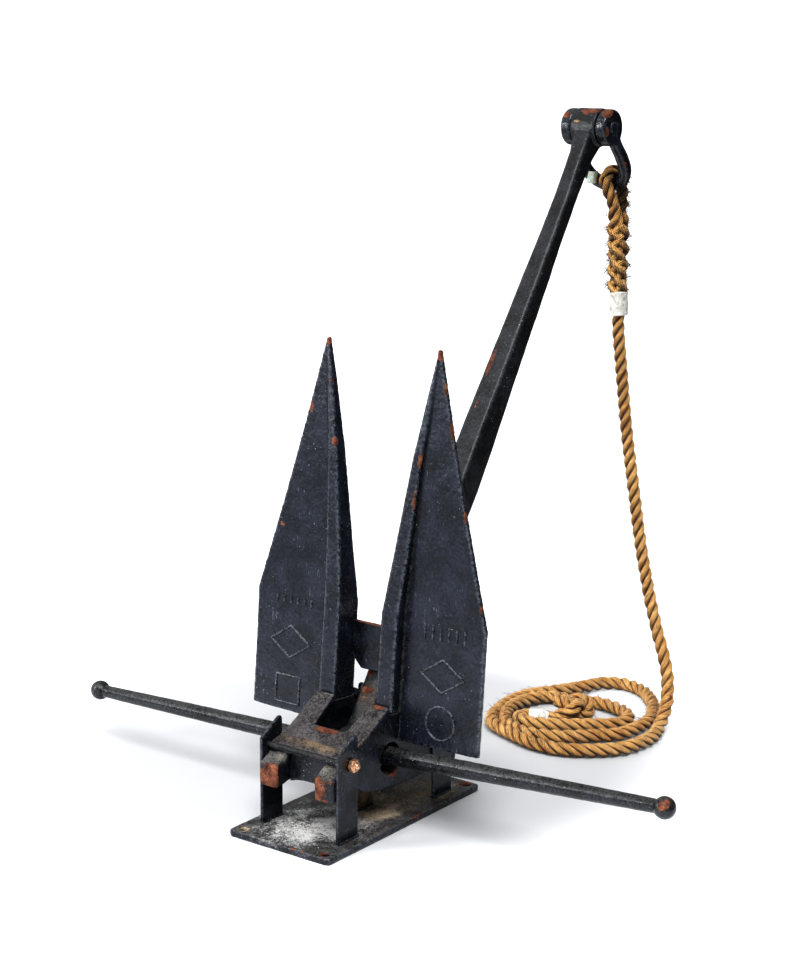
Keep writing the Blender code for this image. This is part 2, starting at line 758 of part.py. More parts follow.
def splice_and_whipping():
    length = (Vector(SPLICE_TOP) - Vector(SPLICE_FOOT)).length
    profile = [(0, length), (SPLICE_TOP_R - 0.004, length), (SPLICE_TOP_R, 0.95 * length),
               (SPLICE_MID_R, 0.66 * length), (SPLICE_MID_R, 0.35 * length), (SPLICE_FOOT_R, 0), (0, 0)]
    along("rope_splice", profile, SPLICE_FOOT, SPLICE_TOP, "rope", SHACKLE_AXIS, HEAD_AT)
    band, r = WHIPPING_LENGTH - GAP, WHIPPING_R
    low = Vector(SPLICE_FOOT) + (Vector(SPLICE_FOOT) - Vector(SPLICE_TOP)).normalized() * WHIPPING_LENGTH
    profile = [(0, band), (r - 0.002, band), (r, band - 0.003), (r, 0.003), (r - 0.002, 0), (0, 0)]
    along("splice_whipping", profile, low, SPLICE_FOOT, "whipping", SHACKLE_AXIS, HEAD_AT)


def rope_fall():
    return tube("rope_fall", smooth_line(FALL_ROUTE, 2), ROPE_R, "rope")


def coil_step():
    """Outer and inner corner of the flat step where the fall runs into the coil."""
    before, end = (Vector(point).xy for point in smooth_line(FALL_ROUTE, 2)[-2:])
    onward = (end - before).normalized()
    square = Vector((-onward.y, onward.x)) * ROPE_R
    face = end + onward * GAP
    return tuple(face + square), tuple(face - square)


def rope_coil():
    first, last = coil_step()
    outer = smooth_line([first, *COIL_OUTER, last], 3)
    inner = smooth_line(COIL_INNER, 3, closed=True)
    item = plate("rope_coil", [outer, inner], COIL_HEIGHT, "rope", at=(0, 0, COIL_HEIGHT / 2))
    return soften(item, COIL_EDGE, limit=60)


def rope_tail():
    line = [(x, y, ROPE_R + GAP) for x, y in TAIL_ROUTE]
    return tube("rope_tail", smooth_line(line, 2), ROPE_R, "rope")


def rope_knot():
    mesh = bpy.data.meshes.new("rope_knot")
    shape = bmesh.new()
    bmesh.ops.create_uvsphere(shape, u_segments=24, v_segments=12, radius=1)
    bmesh.ops.scale(shape, vec=KNOT_SIZE, verts=shape.verts)
    shape.to_mesh(mesh)
    shape.free()
    item = add("rope_knot", mesh, "rope")
    item.location = KNOT_AT
    return smooth_edges(item)


# ---------------------------------------------------------------- assembly

clear_scene()
ANCHOR = collection("barnacled_anchor")
CUTTERS = collection("cutters")
FINISHES = {
    "paint": finish("chipped_black_paint", (0.033, 0.038, 0.052), 0.48, 0.0),
    "rough_paint": finish("dusty_black_paint", (0.075, 0.072, 0.070), 0.75, 0.0),
    "rust": finish("rusted_steel", (0.330, 0.120, 0.060), 0.85, 0.2),
    "base": finish("dusty_base_plate", (0.130, 0.125, 0.122), 0.85, 0.0),
    "debris": finish("grit_on_steel", (0.140, 0.120, 0.095), 0.9, 0.0),
    "bolt": finish("coppery_bolt", (0.560, 0.290, 0.170), 0.5, 0.8),
    "rope": finish("manila_rope", (0.500, 0.290, 0.120), 0.85, 0.0),
    "whipping": finish("white_whipping_twine", (0.780, 0.770, 0.740), 0.8, 0.0),
}
CROWN = empty("crown_frame", CROWN_AT, CROWN_LEAN)
SHANK = empty("shank_frame", SHANK_AT, SHANK_LEAN)
HEAD_AT = SHANK_AT + SHANK_LENGTH * Vector((0, -sin(SHANK_LEAN), cos(SHANK_LEAN)))
SHACKLE_AXIS = empty("shackle_axis", HEAD_AT)
SHACKLE = empty("shackle_frame", (0, 0, 0), SHACKLE_SWING, SHACKLE_AXIS)

base_plate()
lugs()
lug_bolts()
support_block()
crown()
flukes()
bridge_plate()
stock()
shank()
shackle()
rope_eye()
splice_and_whipping()
rope_fall()
rope_coil()
rope_tail()
rope_knot()
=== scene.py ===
# %% [markdown]
# # An old anchor on its display stand
#
# The object is a heavy pivoting-fluke anchor, painted black long ago and rusting through,
# welded up on a steel base. A hairy natural-fibre rope is spliced into its shackle and
# lies coiled on the floor. This lesson dresses a finished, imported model: the frame gives
# every part's exact place, and the steps below give each part its real surface.

import json
import math
import random
from functools import partial

import bmesh
import bpy
import numpy as np
from mathutils import Matrix, Vector, noise
from mathutils.kdtree import KDTree


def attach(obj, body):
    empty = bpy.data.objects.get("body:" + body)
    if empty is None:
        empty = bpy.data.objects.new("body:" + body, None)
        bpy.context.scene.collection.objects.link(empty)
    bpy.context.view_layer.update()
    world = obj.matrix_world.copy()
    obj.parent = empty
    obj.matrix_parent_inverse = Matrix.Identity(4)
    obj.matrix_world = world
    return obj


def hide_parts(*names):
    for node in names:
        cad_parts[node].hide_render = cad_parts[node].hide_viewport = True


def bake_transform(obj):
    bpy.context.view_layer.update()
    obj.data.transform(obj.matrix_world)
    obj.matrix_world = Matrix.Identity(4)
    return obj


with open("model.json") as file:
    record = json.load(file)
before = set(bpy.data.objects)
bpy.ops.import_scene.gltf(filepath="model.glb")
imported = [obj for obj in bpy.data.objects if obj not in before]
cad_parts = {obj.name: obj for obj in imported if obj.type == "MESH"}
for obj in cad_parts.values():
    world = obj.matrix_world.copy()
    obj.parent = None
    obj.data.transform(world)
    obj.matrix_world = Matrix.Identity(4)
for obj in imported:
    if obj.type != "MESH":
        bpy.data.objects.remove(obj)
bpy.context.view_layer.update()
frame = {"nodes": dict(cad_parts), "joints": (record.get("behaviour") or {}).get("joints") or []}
scene = bpy.context.scene
STAND, SHACKLE = "stand_and_anchor", "shackle"
MM = 0.001
HEAD = Vector(frame["joints"][0]["pos_m"])
SWUNG = math.radians(33.9)
HANGS = Vector((0, math.sin(SWUNG), -math.cos(SWUNG)))
print("frame:", len(frame["nodes"]), "nodes; shackle pivots at", [round(v, 3) for v in HEAD])

# %% [markdown]
# ## Camera
#
# A catalogue view is taken from far off through a long lens, so that parallel edges stay
# nearly parallel. The camera could be aimed with a Track To constraint, but turning it
# about its own axes one after another says exactly what was done: spin round the object,
# tip down, then a hair of roll.

# %% Place the camera
def into_scene(name, data):
    """A new object that shows the data, linked into the scene."""
    made = bpy.data.objects.new(name, data)
    scene.collection.objects.link(made)
    return made


camera_data = bpy.data.cameras.new("catalogue_camera")
camera_data.sensor_fit = "HORIZONTAL"
camera_data.sensor_width = 36
camera_data.lens = 91.45
camera = into_scene("catalogue_camera", camera_data)
spin, tip, roll = math.radians(36.78), math.radians(90 - 12.60), 0.0059
camera.matrix_world = (
    Matrix.Translation((2.0678, -2.6479, 1.3413))
    @ Matrix.Rotation(spin, 4, "Z")
    @ Matrix.Rotation(tip, 4, "X")
    @ Matrix.Rotation(roll, 4, "Z")
)
scene.camera = camera
print("camera stands", round(camera.location.length, 2), "m from the base")

# %% [markdown]
# ## One helper for nodes
#
# Every finish below is a network of nodes. It could be wired by hand in the shader
# editor, but a written network says exactly how it was mixed. One function adds any
# node: it sets the node up, fills its inputs in their order and hands back an output, so
# that calls nest like a formula. In each material it goes by the name of put, which is
# the same function with that material's nodes filled in. A noise's scale counts its
# patches in a metre, so 1000 / 16 makes patches about 16 mm across. Colours are picked on
# screen as sRGB hex values, and one function turns them into the linear light that the
# renderer works in.

# %% Colours and nodes
# Unless a call says otherwise, a Mix node mixes colours and a Map Range eases in and out.
USUAL = {"Mix": {"data_type": "RGBA"}, "MapRange": {"interpolation_type": "SMOOTHSTEP"}}


def linear(hex_colour):
    """An sRGB hex colour as linear RGBA."""
    parts = [int(hex_colour[i : i + 2], 16) / 255 for i in (1, 3, 5)]
    return (*(c / 12.92 if c <= 0.04045 else ((c + 0.055) / 1.055) ** 2.4 for c in parts), 1.0)


def add(tree, kind, *values, out=0, **settings):
    """Adds a node such as "Math MULTIPLY", and gives one of its outputs. Each value is set on
    the next input, or linked to it if it is another node's output; None leaves it alone."""
    kind, _, operation = kind.partition(" ")
    made = tree.nodes.new("ShaderNode" + kind)
    if operation:
        made.operation = operation
    for key, value in {**USUAL.get(kind, {}), **settings}.items():
        setattr(made, key, value)
    for socket, value in zip([socket for socket in made.inputs if socket.enabled], values):
        if isinstance(value, bpy.types.NodeSocket):
            tree.links.new(value, socket)
        elif value is not None:
            socket.default_value = linear(value) if isinstance(value, str) else value
    if isinstance(out, str):
        return made.outputs[out]
    return [socket for socket in made.outputs if socket.enabled][out]


def sum_of(put, start, *parts):
    """A start value plus several patterns, each given with its share."""
    for pattern, share in parts:
        start = put("Math MULTIPLY_ADD", pattern, share, start)
    return start


print("mid grey #808080 is", round(linear("#808080")[0], 3), "in linear light")

# %% [markdown]
# ## Floor and light
#
# A product studio surrounds its subject with white: a white floor, a large soft light
# overhead, a softbox at the front left and a darker side that lets the edges read. The
# world gives light by direction, bright from the upper left and dim from the right, and
# is plain white where the camera sees it.

# %% Fill the studio with white
scene.view_settings.view_transform = "Standard"
scene.view_settings.look = "High Contrast"
scene.view_settings.exposure = -0.02
world = bpy.data.worlds.new("white_studio")
scene.world = world
world.use_nodes = True
sky = world.node_tree
sky.nodes.clear()
put = partial(add, sky)
towards = put("TexCoord", out="Generated")
facing = put("VectorMath DOT_PRODUCT", towards, (-0.62, -0.48, 0.62))
soft = put("MapRange", facing, -0.5, 1.0, 0.06, 0.72, interpolation_type="LINEAR")
seen = put("LightPath")
power = put("Mix", seen, soft, 1.0, data_type="FLOAT")
tint = put("Mix", seen, (0.97, 0.985, 1, 1), (1, 1, 1, 1))
shine = put("Background", tint, power)
sky.links.new(shine, sky.nodes.new("ShaderNodeOutputWorld").inputs["Surface"])
print("world:", len(sky.nodes), "nodes")

# %% Hang the lights
def softbox(name, place, aim, size, watts):
    """A square area light that hangs at one point and looks at another."""
    light = bpy.data.lights.new(name, "AREA")
    light.size = size
    light.energy = watts
    lamp = into_scene(name, light)
    lamp.location = place
    lamp.rotation_euler = (Vector(aim) - Vector(place)).to_track_quat("-Z", "Y").to_euler()


softbox("front_left_softbox", (-2.5, -2.9, 1.95), (0, 0.1, 0.45), 1.1, 64)

bank = bpy.data.lights.new("overhead_bank", "SUN")
bank.energy, bank.angle = 1.9, math.radians(30)
bank_lamp = into_scene("overhead_bank", bank)
bank_lamp.rotation_euler = Vector((0.42, -0.55, 1.0)).to_track_quat("Z", "Y").to_euler()

# %% [markdown]
# ## A floor that fades to white
#
# The floor is matt white paper. A sheet lit evenly would show its rim against the white
# surroundings, so it is made to glow a little more the farther it is from the anchor:
# the shadows stay soft under the steel, and the rim can't be seen.

# %% Roll out the floor
def new_material(name, **constants):
    """A node material, put for its nodes, its shader with constants such as Roughness set,
    and the place of each point, which its patterns read."""
    material = bpy.data.materials.new(name)
    material.use_nodes = True
    put, shader = partial(add, material.node_tree), material.node_tree.nodes["Principled BSDF"]
    for key, value in constants.items():
        shader.inputs[key.replace("_", " ")].default_value = value
    return material, put, shader, put("TexCoord", out="Object")


def wire(shader, **outputs):
    """Links outputs of nodes to the shader's inputs, named as in Base_Color."""
    for key, value in outputs.items():
        shader.id_data.links.new(value, shader.inputs[key.replace("_", " ")])


FLOOR_RADIUS, FADES_ROUND = 1.45, (-0.2, 0.3, 0)
floor_mesh = bpy.data.meshes.new("studio_floor")
sheet = bmesh.new()
bmesh.ops.create_circle(sheet, cap_ends=True, segments=96, radius=FLOOR_RADIUS)
sheet.to_mesh(floor_mesh)
sheet.free()
floor = into_scene("studio_floor", floor_mesh)
# Matt white studio paper: no gloss, and a faint clouding that keeps it from looking flat.
floor_paint, put, shader, coords = new_material(
    "matt_white_studio_floor", Roughness=0.9, Specular_IOR_Level=0.1, Emission_Color=(1, 1, 1, 1))
cloud = put("TexNoise", coords, 1000 / 400, 3, 0.55)
paper = put("Mix", cloud, "#c9cacd", "#cfd0d2")
outward = put("VectorMath LENGTH", put("VectorMath SUBTRACT", coords, FADES_ROUND))
glow = put("Math MULTIPLY_ADD", put("MapRange", outward, 0.44, 0.72), 0.5, 0.04)
wire(shader, Base_Color=paper, Emission_Strength=glow)
floor_mesh.materials.append(floor_paint)
print("floor:", 2 * FLOOR_RADIUS, "m across")

# %% [markdown]
# ## The rope's line
#
# A rope has a fixed length and hangs under its own weight, so its line comes first. It
# goes over the bow of the shackle, down through the splice, falls to the floor in one
# long curve, runs twice round in a flat coil and ends in an overhand knot. A smooth
# curve through a few dozen points gives the line, and it is then cut into equal steps.
# The points below are in millimetres; on the floor the rope's middle is 14.3 mm up.

# %% Set out the rope's places
ROPE_R = 12.5 * MM
SPLICE_TOP, SPLICE_FOOT = Vector((0.017, 0.799, 0.998)), Vector((0.0245, 0.798, 0.842))
FALL = [(26.8, 797.7, 793.2), (28.4, 797.5, 763.2), (43, 793, 668), (60, 788, 565), (84, 780, 456),
        (107, 772, 356), (134, 764, 260), (161, 756, 184), (178, 750, 147), (193, 743, 111),
        (202, 734, 80), (208, 721, 54), (212, 704, 35), (216, 684, 20.5), (222, 660, 14.6),
        (231, 629, 14.3), (233, 598, 14.3), (228, 557, 14.3), (214, 524, 14.3)]
COIL = [(174, 483), (126, 456), (71, 453), (20, 468), (-22, 484), (-59, 505), (-84, 548), (-97, 598),
        (-102, 640), (-99, 681), (-86, 710), (-70, 735), (-38, 797), (-16, 848), (24, 870), (80, 852),
        (132, 799), (158, 757), (178, 711), (183, 660), (175, 601), (148, 570), (107, 527), (57, 499),
        (13, 495), (-28, 514), (-45, 530), (-73, 578), (-83, 640), (-68, 690), (-45, 710), (-15, 715),
        (12, 723), (45, 732), (80, 730), (114, 716), (138, 694), (146, 667), (137, 641), (115, 620),
        (86, 598), (55, 574), (22, 555), (-8, 547), (-28, 553), (-37, 568), (-27, 582), (-3, 591), (20, 601)]
KNOT_AT = Vector((40, 643, 28.0)) * MM
print("rope:", len(FALL), "points down the fall and", len(COIL), "round the coil")

# %% Bend the eye over the bow
def eye_lines():
    """The two legs of the eye, each from the top of the bow's bar down to the splice."""
    # The bow's round end is half an ellipse: from straight to deepest, half its width, its
    # bar's radius, and how far to the right of the middle the eye sits, in metres.
    straight, deepest, half, bar_r, eye_x = 0.0826, 0.1365, 0.046, 0.013, 0.008
    bend = (1 - (eye_x / half) ** 2) ** 0.5
    middle = HEAD + Vector((eye_x, 0, 0)) + HANGS * (straight + (deepest - straight) * bend)
    slope = (deepest - straight) * eye_x / half**2 / bend
    bar = (Vector((1, 0, 0)) - HANGS * slope).normalized()
    over = (Vector((0, 0, 1)) - bar * bar.z).normalized()
    across = over.cross(bar)
    up = (SPLICE_TOP - SPLICE_FOOT).normalized()
    legs = []
    for side in (-1, 1):
        turns = [math.radians(a) for a in (90, 74, 58, 42, 26, 10)]
        line = [middle + (over * math.sin(a) + across * side * math.cos(a)) * (bar_r + ROPE_R + 0.9 * MM)
                for a in turns]
        for rise, spread in ((0.020, 0.0165), (0.010, 0.0127), (0.0, 0.0115)):
            line.append(SPLICE_TOP + up * rise + Vector((0, side * spread, 0)))
        legs.append(line)
    return legs


def beside_splice(side):
    """Down the splice, from one side of its middle and closing in on it."""
    return [SPLICE_TOP.lerp(SPLICE_FOOT, t) + Vector((0, side * 0.0115 * (1 - t) ** 5, 0))
            for t in (0.12, 0.25, 0.45, 0.7, 1.0)]


front_leg, back_leg = eye_lines()
print("eye: from", [round(v, 3) for v in front_leg[0]], "to", [round(v, 3) for v in front_leg[-1]])

# %% Tie the knot and join the line
def smooth_line(points, step):
    """Equal steps along a Catmull-Rom curve through the points."""
    ends = [points[0], *points, points[-1]]
    dense = []
    for a, b, c, d in zip(ends, ends[1:], ends[2:], ends[3:]):
        a, b, c, d = (np.array(p, float) for p in (a, b, c, d))
        for t in np.arange(0, 1, 0.05):
            dense.append(0.5 * (2 * b + (c - a) * t + (2 * a - 5 * b + 4 * c - d) * t**2
                                + (3 * b - a - 3 * c + d) * t**3))
    dense = np.array([*dense, np.array(points[-1], float)])
    run = np.r_[0, np.cumsum(np.linalg.norm(np.diff(dense, axis=0), axis=1))]
    marks = np.linspace(0, run[-1], max(2, round(run[-1] / step)) + 1)
    return np.stack([np.interp(marks, run, dense[:, k]) for k in range(3)], 1)


def knot_line():
    """An overhand knot: most of a three-lobed loop that passes over and under itself. Its
    lobes reach out three times 10.8 mm, and it rises and sinks 12.5 mm where it crosses."""
    line = []
    for i in range(30):
        t = math.radians(-172 + 325 * i / 29)
        flat = Vector((math.sin(t) + 2 * math.sin(2 * t), math.cos(t) - 2 * math.cos(2 * t), 0))
        spot = Matrix.Rotation(math.radians(20), 3, "Z") @ flat * 0.0108
        line.append(KNOT_AT + spot + Vector((0, 0, -0.0125 * math.sin(3 * t))))
    return line


falling = [Vector(place) * MM for place in FALL]
floor_run = [Vector((x, y, 14.3)) * MM for x, y in COIL]
knot_run = knot_line()
rope_line = smooth_line([*front_leg, *beside_splice(-1), *falling, *floor_run, *knot_run], 3 * MM)
rope_length = float(np.linalg.norm(np.diff(rope_line, axis=0), axis=1).sum())
print("rope:", round(rope_length, 3), "m in", len(rope_line), "steps; the knot ends at",
      [round(v, 3) for v in knot_run[-1]])

# %% [markdown]
# ## Laid strands
#
# This is right-laid rope: three strands wound round each other like the thread of a
# screw, about 70 mm to a full turn, each made of yarns twisted the other way. Winding
# three bevelled curves round the line gives real grooves that catch shadow, which a
# bump map on a plain tube can't do at the rope's outline.

# %% Wind one line round another
LAY, STRAND_R, HELIX_R = 70 * MM, 5.9 * MM, 6.6 * MM
STEP = rope_length / (len(rope_line) - 1)


def frames_along(line):
    """At each point, two directions square to the line that turn as little as possible."""
    ahead = np.gradient(line, axis=0)
    ahead /= np.linalg.norm(ahead, axis=1)[:, None]
    side = Vector(ahead[0]).orthogonal().normalized()
    sides = []
    for direction in ahead:
        d = Vector(direction)
        side = (side - d * side.dot(d)).normalized()
        sides.append(side.copy())
    sides = np.array(sides)
    return sides, np.cross(ahead, sides)


def wound(line, turns, radius, start=0.0):
    """A line wound round another: turns and radius are given at each of its points."""
    one, other = frames_along(line)
    angle = 2 * np.pi * turns + start
    radius = np.broadcast_to(radius, angle.shape)
    return line + radius[:, None] * (np.cos(angle)[:, None] * one + np.sin(angle)[:, None] * other)


print("lay:", round(rope_length / LAY, 1), "turns in the whole rope")

# %% Make round bars
def bars(name, lines, radius, rounding=3, factors=None, caps=True):
    """One mesh of round bars along several lines, with its UV map in metres."""
    curve = bpy.data.curves.new(name, "CURVE")
    curve.dimensions = "3D"
    curve.bevel_depth = radius
    curve.bevel_resolution = rounding
    curve.use_fill_caps = caps
    for line in lines:
        spline = curve.splines.new("POLY")
        spline.points.add(len(line) - 1)
        spline.points.foreach_set("co", np.c_[line, np.ones(len(line))].ravel())
        if factors is not None:
            spline.points.foreach_set("radius", np.asarray(factors, float))
    holder = into_scene(name, curve)
    mesh = bpy.data.meshes.new_from_object(holder.evaluated_get(bpy.context.evaluated_depsgraph_get()))
    bpy.data.objects.remove(holder, do_unlink=True)
    length = float(np.linalg.norm(np.diff(lines[0], axis=0), axis=1).sum())
    if mesh.uv_layers:
        uv = np.empty(len(mesh.loops) * 2)
        mesh.uv_layers[0].data.foreach_get("uv", uv)
        uv = uv.reshape(-1, 2) * (length, 2 * math.pi * radius)
        mesh.uv_layers[0].data.foreach_set("uv", uv.ravel())
    mesh.shade_smooth()
    return into_scene(name, mesh)


def read(mesh, key):
    """The place or the normal of every point of a mesh, as rows of three numbers."""
    values = np.empty(len(mesh.vertices) * 3)
    mesh.vertices.foreach_get(key, values)
    return values.reshape(-1, 3)


def roughen(piece, push, pitch):
    """Moves each point in or out a little, and keeps it above the floor."""
    points, normals = read(piece.data, "co"), read(piece.data, "normal")
    swirl = [noise.noise(Vector(p) * pitch) + 0.5 * noise.noise(Vector(p) * pitch * 3.1) for p in points]
    points += normals * push * np.array(swirl)[:, None]
    points[:, 2] = np.maximum(points[:, 2], 0.3 * MM)
    piece.data.vertices.foreach_set("co", points.ravel())
    piece.data.update()


print("strand: a bar of", round(2 * STRAND_R / MM, 1), "mm")

# %% Wind the strands
def mark_depth(piece, line, inner, outer):
    """Stores how far each point stands out from the line: 0 in the grooves, 1 outside."""
    nearest = KDTree(len(line))
    for i, point in enumerate(line):
        nearest.insert(point, i)
    nearest.balance()
    mesh = piece.data
    out = [(nearest.find(v.co)[2] - inner) / (outer - inner) for v in mesh.vertices]
    mesh.attributes.new("standing_out", "FLOAT", "POINT").data.foreach_set("value", np.clip(out, 0, 1))


def reached(line, step, point):
    """How far along a line of equal steps it comes nearest to a point."""
    return step * int(np.argmin(np.linalg.norm(line - np.array(point), axis=1)))


# The strands thicken and bulge in the splice, and the lay slackens a little after 0.75 m.
run = np.arange(len(rope_line)) * STEP
top_at, foot_at = (reached(rope_line, STEP, point) for point in (front_leg[-1], SPLICE_FOOT))
in_splice = np.clip((run - top_at) / 0.02, 0, 1) * np.clip((foot_at - run) / 0.015, 0, 1)
slack = np.clip((run - 0.75) / 0.45, 0, 1)
looseness = 1 + 0.10 * slack * slack * (3 - 2 * slack)
swell = HELIX_R * looseness + in_splice * (0.0018 + 0.0014 * np.sin(2 * np.pi * run / 0.047))
rope_strands = [wound(rope_line, run / LAY, swell, k * 2 * math.pi / 3) for k in range(3)]
rope = bars("rope", rope_strands, STRAND_R, 3, looseness * (1 + 0.22 * in_splice))
roughen(rope, 0.45 * MM, 110)
mark_depth(rope, rope_line, 4.5 * MM, 12.5 * MM)
print("rope mesh:", len(rope.data.polygons), "faces; UV maps:", len(rope.data.uv_layers),
      "; splice from", round(top_at, 3), "to", round(foot_at, 3))

# %% [markdown]
# ## The eye splice
#
# To make the eye, the rope's end goes round the bow and is unlaid, and its three strands
# are tucked over and under the standing strands, against the lay. That gives the splice
# its plaited, lumpy look. The tucked strands are wound the other way round the splice
# here, rising and sinking as they go over and under.

# %% Tuck the strands
# Lengths are in metres after the throat of the eye, where the tucks begin: they settle into
# place in 14 mm, thin out from 30 mm on, and pass over and under once every 36 mm.
past_foot = SPLICE_FOOT.lerp(SPLICE_TOP, -0.12)
tuck_line = smooth_line([*back_leg, *beside_splice(1), past_foot], 2.5 * MM)
tuck_step = float(np.linalg.norm(tuck_line[1] - tuck_line[0]))
tuck_run = np.arange(len(tuck_line)) * tuck_step
tuck_at = reached(tuck_line, tuck_step, back_leg[-1])
after = np.clip(tuck_run - tuck_at, 0, None)
settle = np.clip(after / 0.014, 0, 1)
taper = 1 - 0.30 * np.clip((after - 0.03) / 0.13, 0, 1)
tuck_turns = np.where(after > 0, tuck_at / LAY - after / (82 * MM), tuck_run / LAY)
tuck_out = HELIX_R + settle * taper * (6.6 * MM + 2.8 * MM * np.sin(2 * np.pi * after / 0.036 + 1.2))
tuck_strands = [wound(tuck_line, tuck_turns, tuck_out, 0.9 + k * 2 * math.pi / 3) for k in range(3)]
tucks = bars("splice_tucks", tuck_strands, STRAND_R, 3, (1 + 0.36 * settle) * taper**0.4)
roughen(tucks, 0.6 * MM, 110)
mark_depth(tucks, tuck_line, 5 * MM, 19 * MM)
print("splice: tucked from", round(tuck_at, 3), "m round the eye, over", round(float(after.max()), 3), "m")

# %% [markdown]
# ## Whippings
#
# The foot of the splice and the rope near its end are bound in white twine, so that the
# strands can't unlay. A whipping is one cord wound tight: its ridges are a couple of
# millimetres apart and its shape follows the three strands under it a little.

# %% Bind the whippings
TURN = 2.1 * MM


def whipping(name, low, high, radius):
    """A bound band round the rope between two distances along it."""
    marks = np.arange(low, high, 0.45 * MM)
    along = np.arange(len(rope_line)) * float(np.linalg.norm(rope_line[1] - rope_line[0]))
    middle = np.stack([np.interp(marks, along, rope_line[:, k]) for k in range(3)], 1)
    wave = 1 + 0.02 * np.sin(2 * np.pi * marks / TURN) + 0.025 * np.sin(2 * np.pi * marks / 0.031 + 1)
    ends = np.clip(np.minimum(marks - low, high - marks) / (2.2 * MM), 0, 1) ** 0.5
    band = bars(name, [middle], radius, 10, wave * (0.86 + 0.14 * ends))
    roughen(band, 0.9 * MM, 65)
    return band


splice_band = whipping("splice_whipping_band", foot_at, foot_at + 0.047, 19.0 * MM)
band_at = reached(rope_line, STEP, (-0.003, 0.591, 0.0143))
tail_band = whipping("tail_whipping_band", band_at - 0.021, band_at + 0.021, 14.6 * MM)
print("whippings at", round(foot_at, 3), "and", round(float(band_at), 3), "m along the rope")

# %% [markdown]
# ## Loose fibres
#
# Natural-fibre rope is hairy: fibre ends stand out of every yarn. A few thousand thin
# curved hairs scattered over the strands soften the outline, which is what tells the eye
# that this is hemp or manila and not a smooth plastic cord. They are drawn a little
# thicker than real fibres so that they still show from across the room.

# %% Scatter the fibres
chance = random.Random(7)


def hairs(name, hosts, count, longest):
    """Thin curved hairs that stand out of strands; each host is a strand and its rope's line."""
    lines = []
    for _ in range(count):
        strand, middle = chance.choice(hosts)
        i = chance.randrange(8, len(strand) - 9)
        out = Vector(strand[i] - middle[min(i, len(middle) - 1)])
        if out.length < 0.002:
            continue
        ahead = Vector(strand[i + 3] - strand[i - 3]).normalized() * chance.choice((-1, 1))
        sway = Vector([chance.gauss(0, 0.6) for _ in range(3)])
        way = out.normalized() * chance.uniform(0.25, 1.0) + ahead * chance.uniform(0.3, 1.3) + sway * 0.5
        root = Vector(strand[i]) + out.normalized() * STRAND_R * 0.9
        reach = longest * chance.uniform(0.25, 1) ** 1.6
        curl = Vector([chance.gauss(0, 1) for _ in range(3)]) * reach * 0.22
        hair = [root + way.normalized() * reach * t + curl * t * t for t in (0, 0.35, 0.7, 1)]
        if min(point.z for point in hair) < 0.001:
            continue
        lines.append(np.array(hair))
    return bars(name, lines, 0.24 * MM, 0, caps=False), len(lines)


hosts = [(strand, rope_line) for strand in rope_strands] + [(strand, tuck_line) for strand in tuck_strands]
fibres, fibre_count = hairs("rope_fibres", hosts, count=4200, longest=15 * MM)
print("fibres:", fibre_count, "hairs,", len(fibres.data.polygons), "faces")

# %% [markdown]
# ## Manila fibre
#
# Manila is a leaf fibre, golden brown, with a low sheen and no gloss: its look comes from
# streaks of fibre and not from reflections. The yarns of a strand are finer than would
# show from here, so ten are drawn round it. They are twisted against the strand and so
# run nearly in line with the rope. Yarns and streaks are drawn on the strand's own map
# (metres along it and round it), so they follow every bend. Shade is painted into the
# grooves and onto what faces down, and a highlight is painted on the crests.

# %% Colour the rope
YARN = 2 * math.pi * STRAND_R / 10


def fibre_material(name, dark, mid, light, yarn_relief, roughness):
    """Twisted leaf fibre streaked along its yarns, with painted shade in grooves and below, painted
    highlight on crests.
    """
    material, put, shader, coords = new_material(
        name, Roughness=roughness, Specular_IOR_Level=0.28, Sheen_Weight=0.25, Sheen_Roughness=0.45)
    along = put("SeparateXYZ", put("UVMap"), out="X")
    skewed = put("Math MULTIPLY_ADD", along, -0.6, along.node.outputs["Y"])
    yarn = put("Math SINE", put("Math MULTIPLY", skewed, 2 * math.pi / YARN))
    stretched = put("CombineXYZ", put("Math MULTIPLY", along, 0.09), skewed)
    streak = put("TexNoise", stretched, 1000 / 1.9, 4, 0.7)
    patch = put("TexNoise", coords, 1000 / 26, 4, 0.6)
    wide = put("TexNoise", coords, 1000 / 190, 2, 0.5)
    tone = sum_of(put, -0.66, (patch, 0.5), (streak, 1.5), (yarn, 0.12), (wide, 0.45))
    warm = put("Mix", put("MapRange", tone, 0.3, 0.54), dark, mid)
    bright = put("Mix", put("MapRange", tone, 0.48, 0.76), warm, light)
    # How far a point stands out of the strands: the crests get a painted highlight, the grooves painted
    # shade.
    proud = put("Attribute", out="Fac", attribute_name="standing_out")
    painted_crest_highlight = put("Math MULTIPLY", put("MapRange", proud, 0.66, 1.0), 0.25)
    bright = put("Mix", painted_crest_highlight, bright, light)
    # Painted shade: the grooves between the strands are darkened to dark brown.
    painted_groove_shade = put("MapRange", proud, 0.26, 0.84)
    shaded = put("Mix", painted_groove_shade, "#241104", bright)
    # Painted shade: whatever faces down is darkened, as if lit from above.
    upwards = put("SeparateXYZ", put("NewGeometry", out="Normal"), out="Z")
    painted_underside_shade = put("MapRange", upwards, -0.85, 0.35)
    colour = put("Mix", painted_underside_shade, "#3d2008", shaded)
    height = sum_of(put, 0, (streak, 1.2), (yarn, 0.5 * yarn_relief))
    wire(shader, Base_Color=colour, Normal=put("Bump", 1.0, 1.8 * MM, None, height))
    return material


# Laid manila: streaked gold and brown, with a painted highlight on the crests and painted shade between
# them, which makes the lay read.
manila = fibre_material("laid_manila_fibre", "#683812", "#cd8735", "#ffd590", 1.0, 0.72)
# Stray fibres carry no depth of their own, so they take the dark brown painted as shade in the
# grooves all over, and show as fine dark hairs against the pale rope and floor.
stray = fibre_material("stray_manila_fibre", "#a06c30", "#d39a50", "#f3cf8e", 0.0, 0.6)
for piece, fibre in ((rope, manila), (tucks, manila), (fibres, stray)):
    piece.data.materials.append(fibre)
print("yarns drawn", round(YARN / MM, 1), "mm apart")
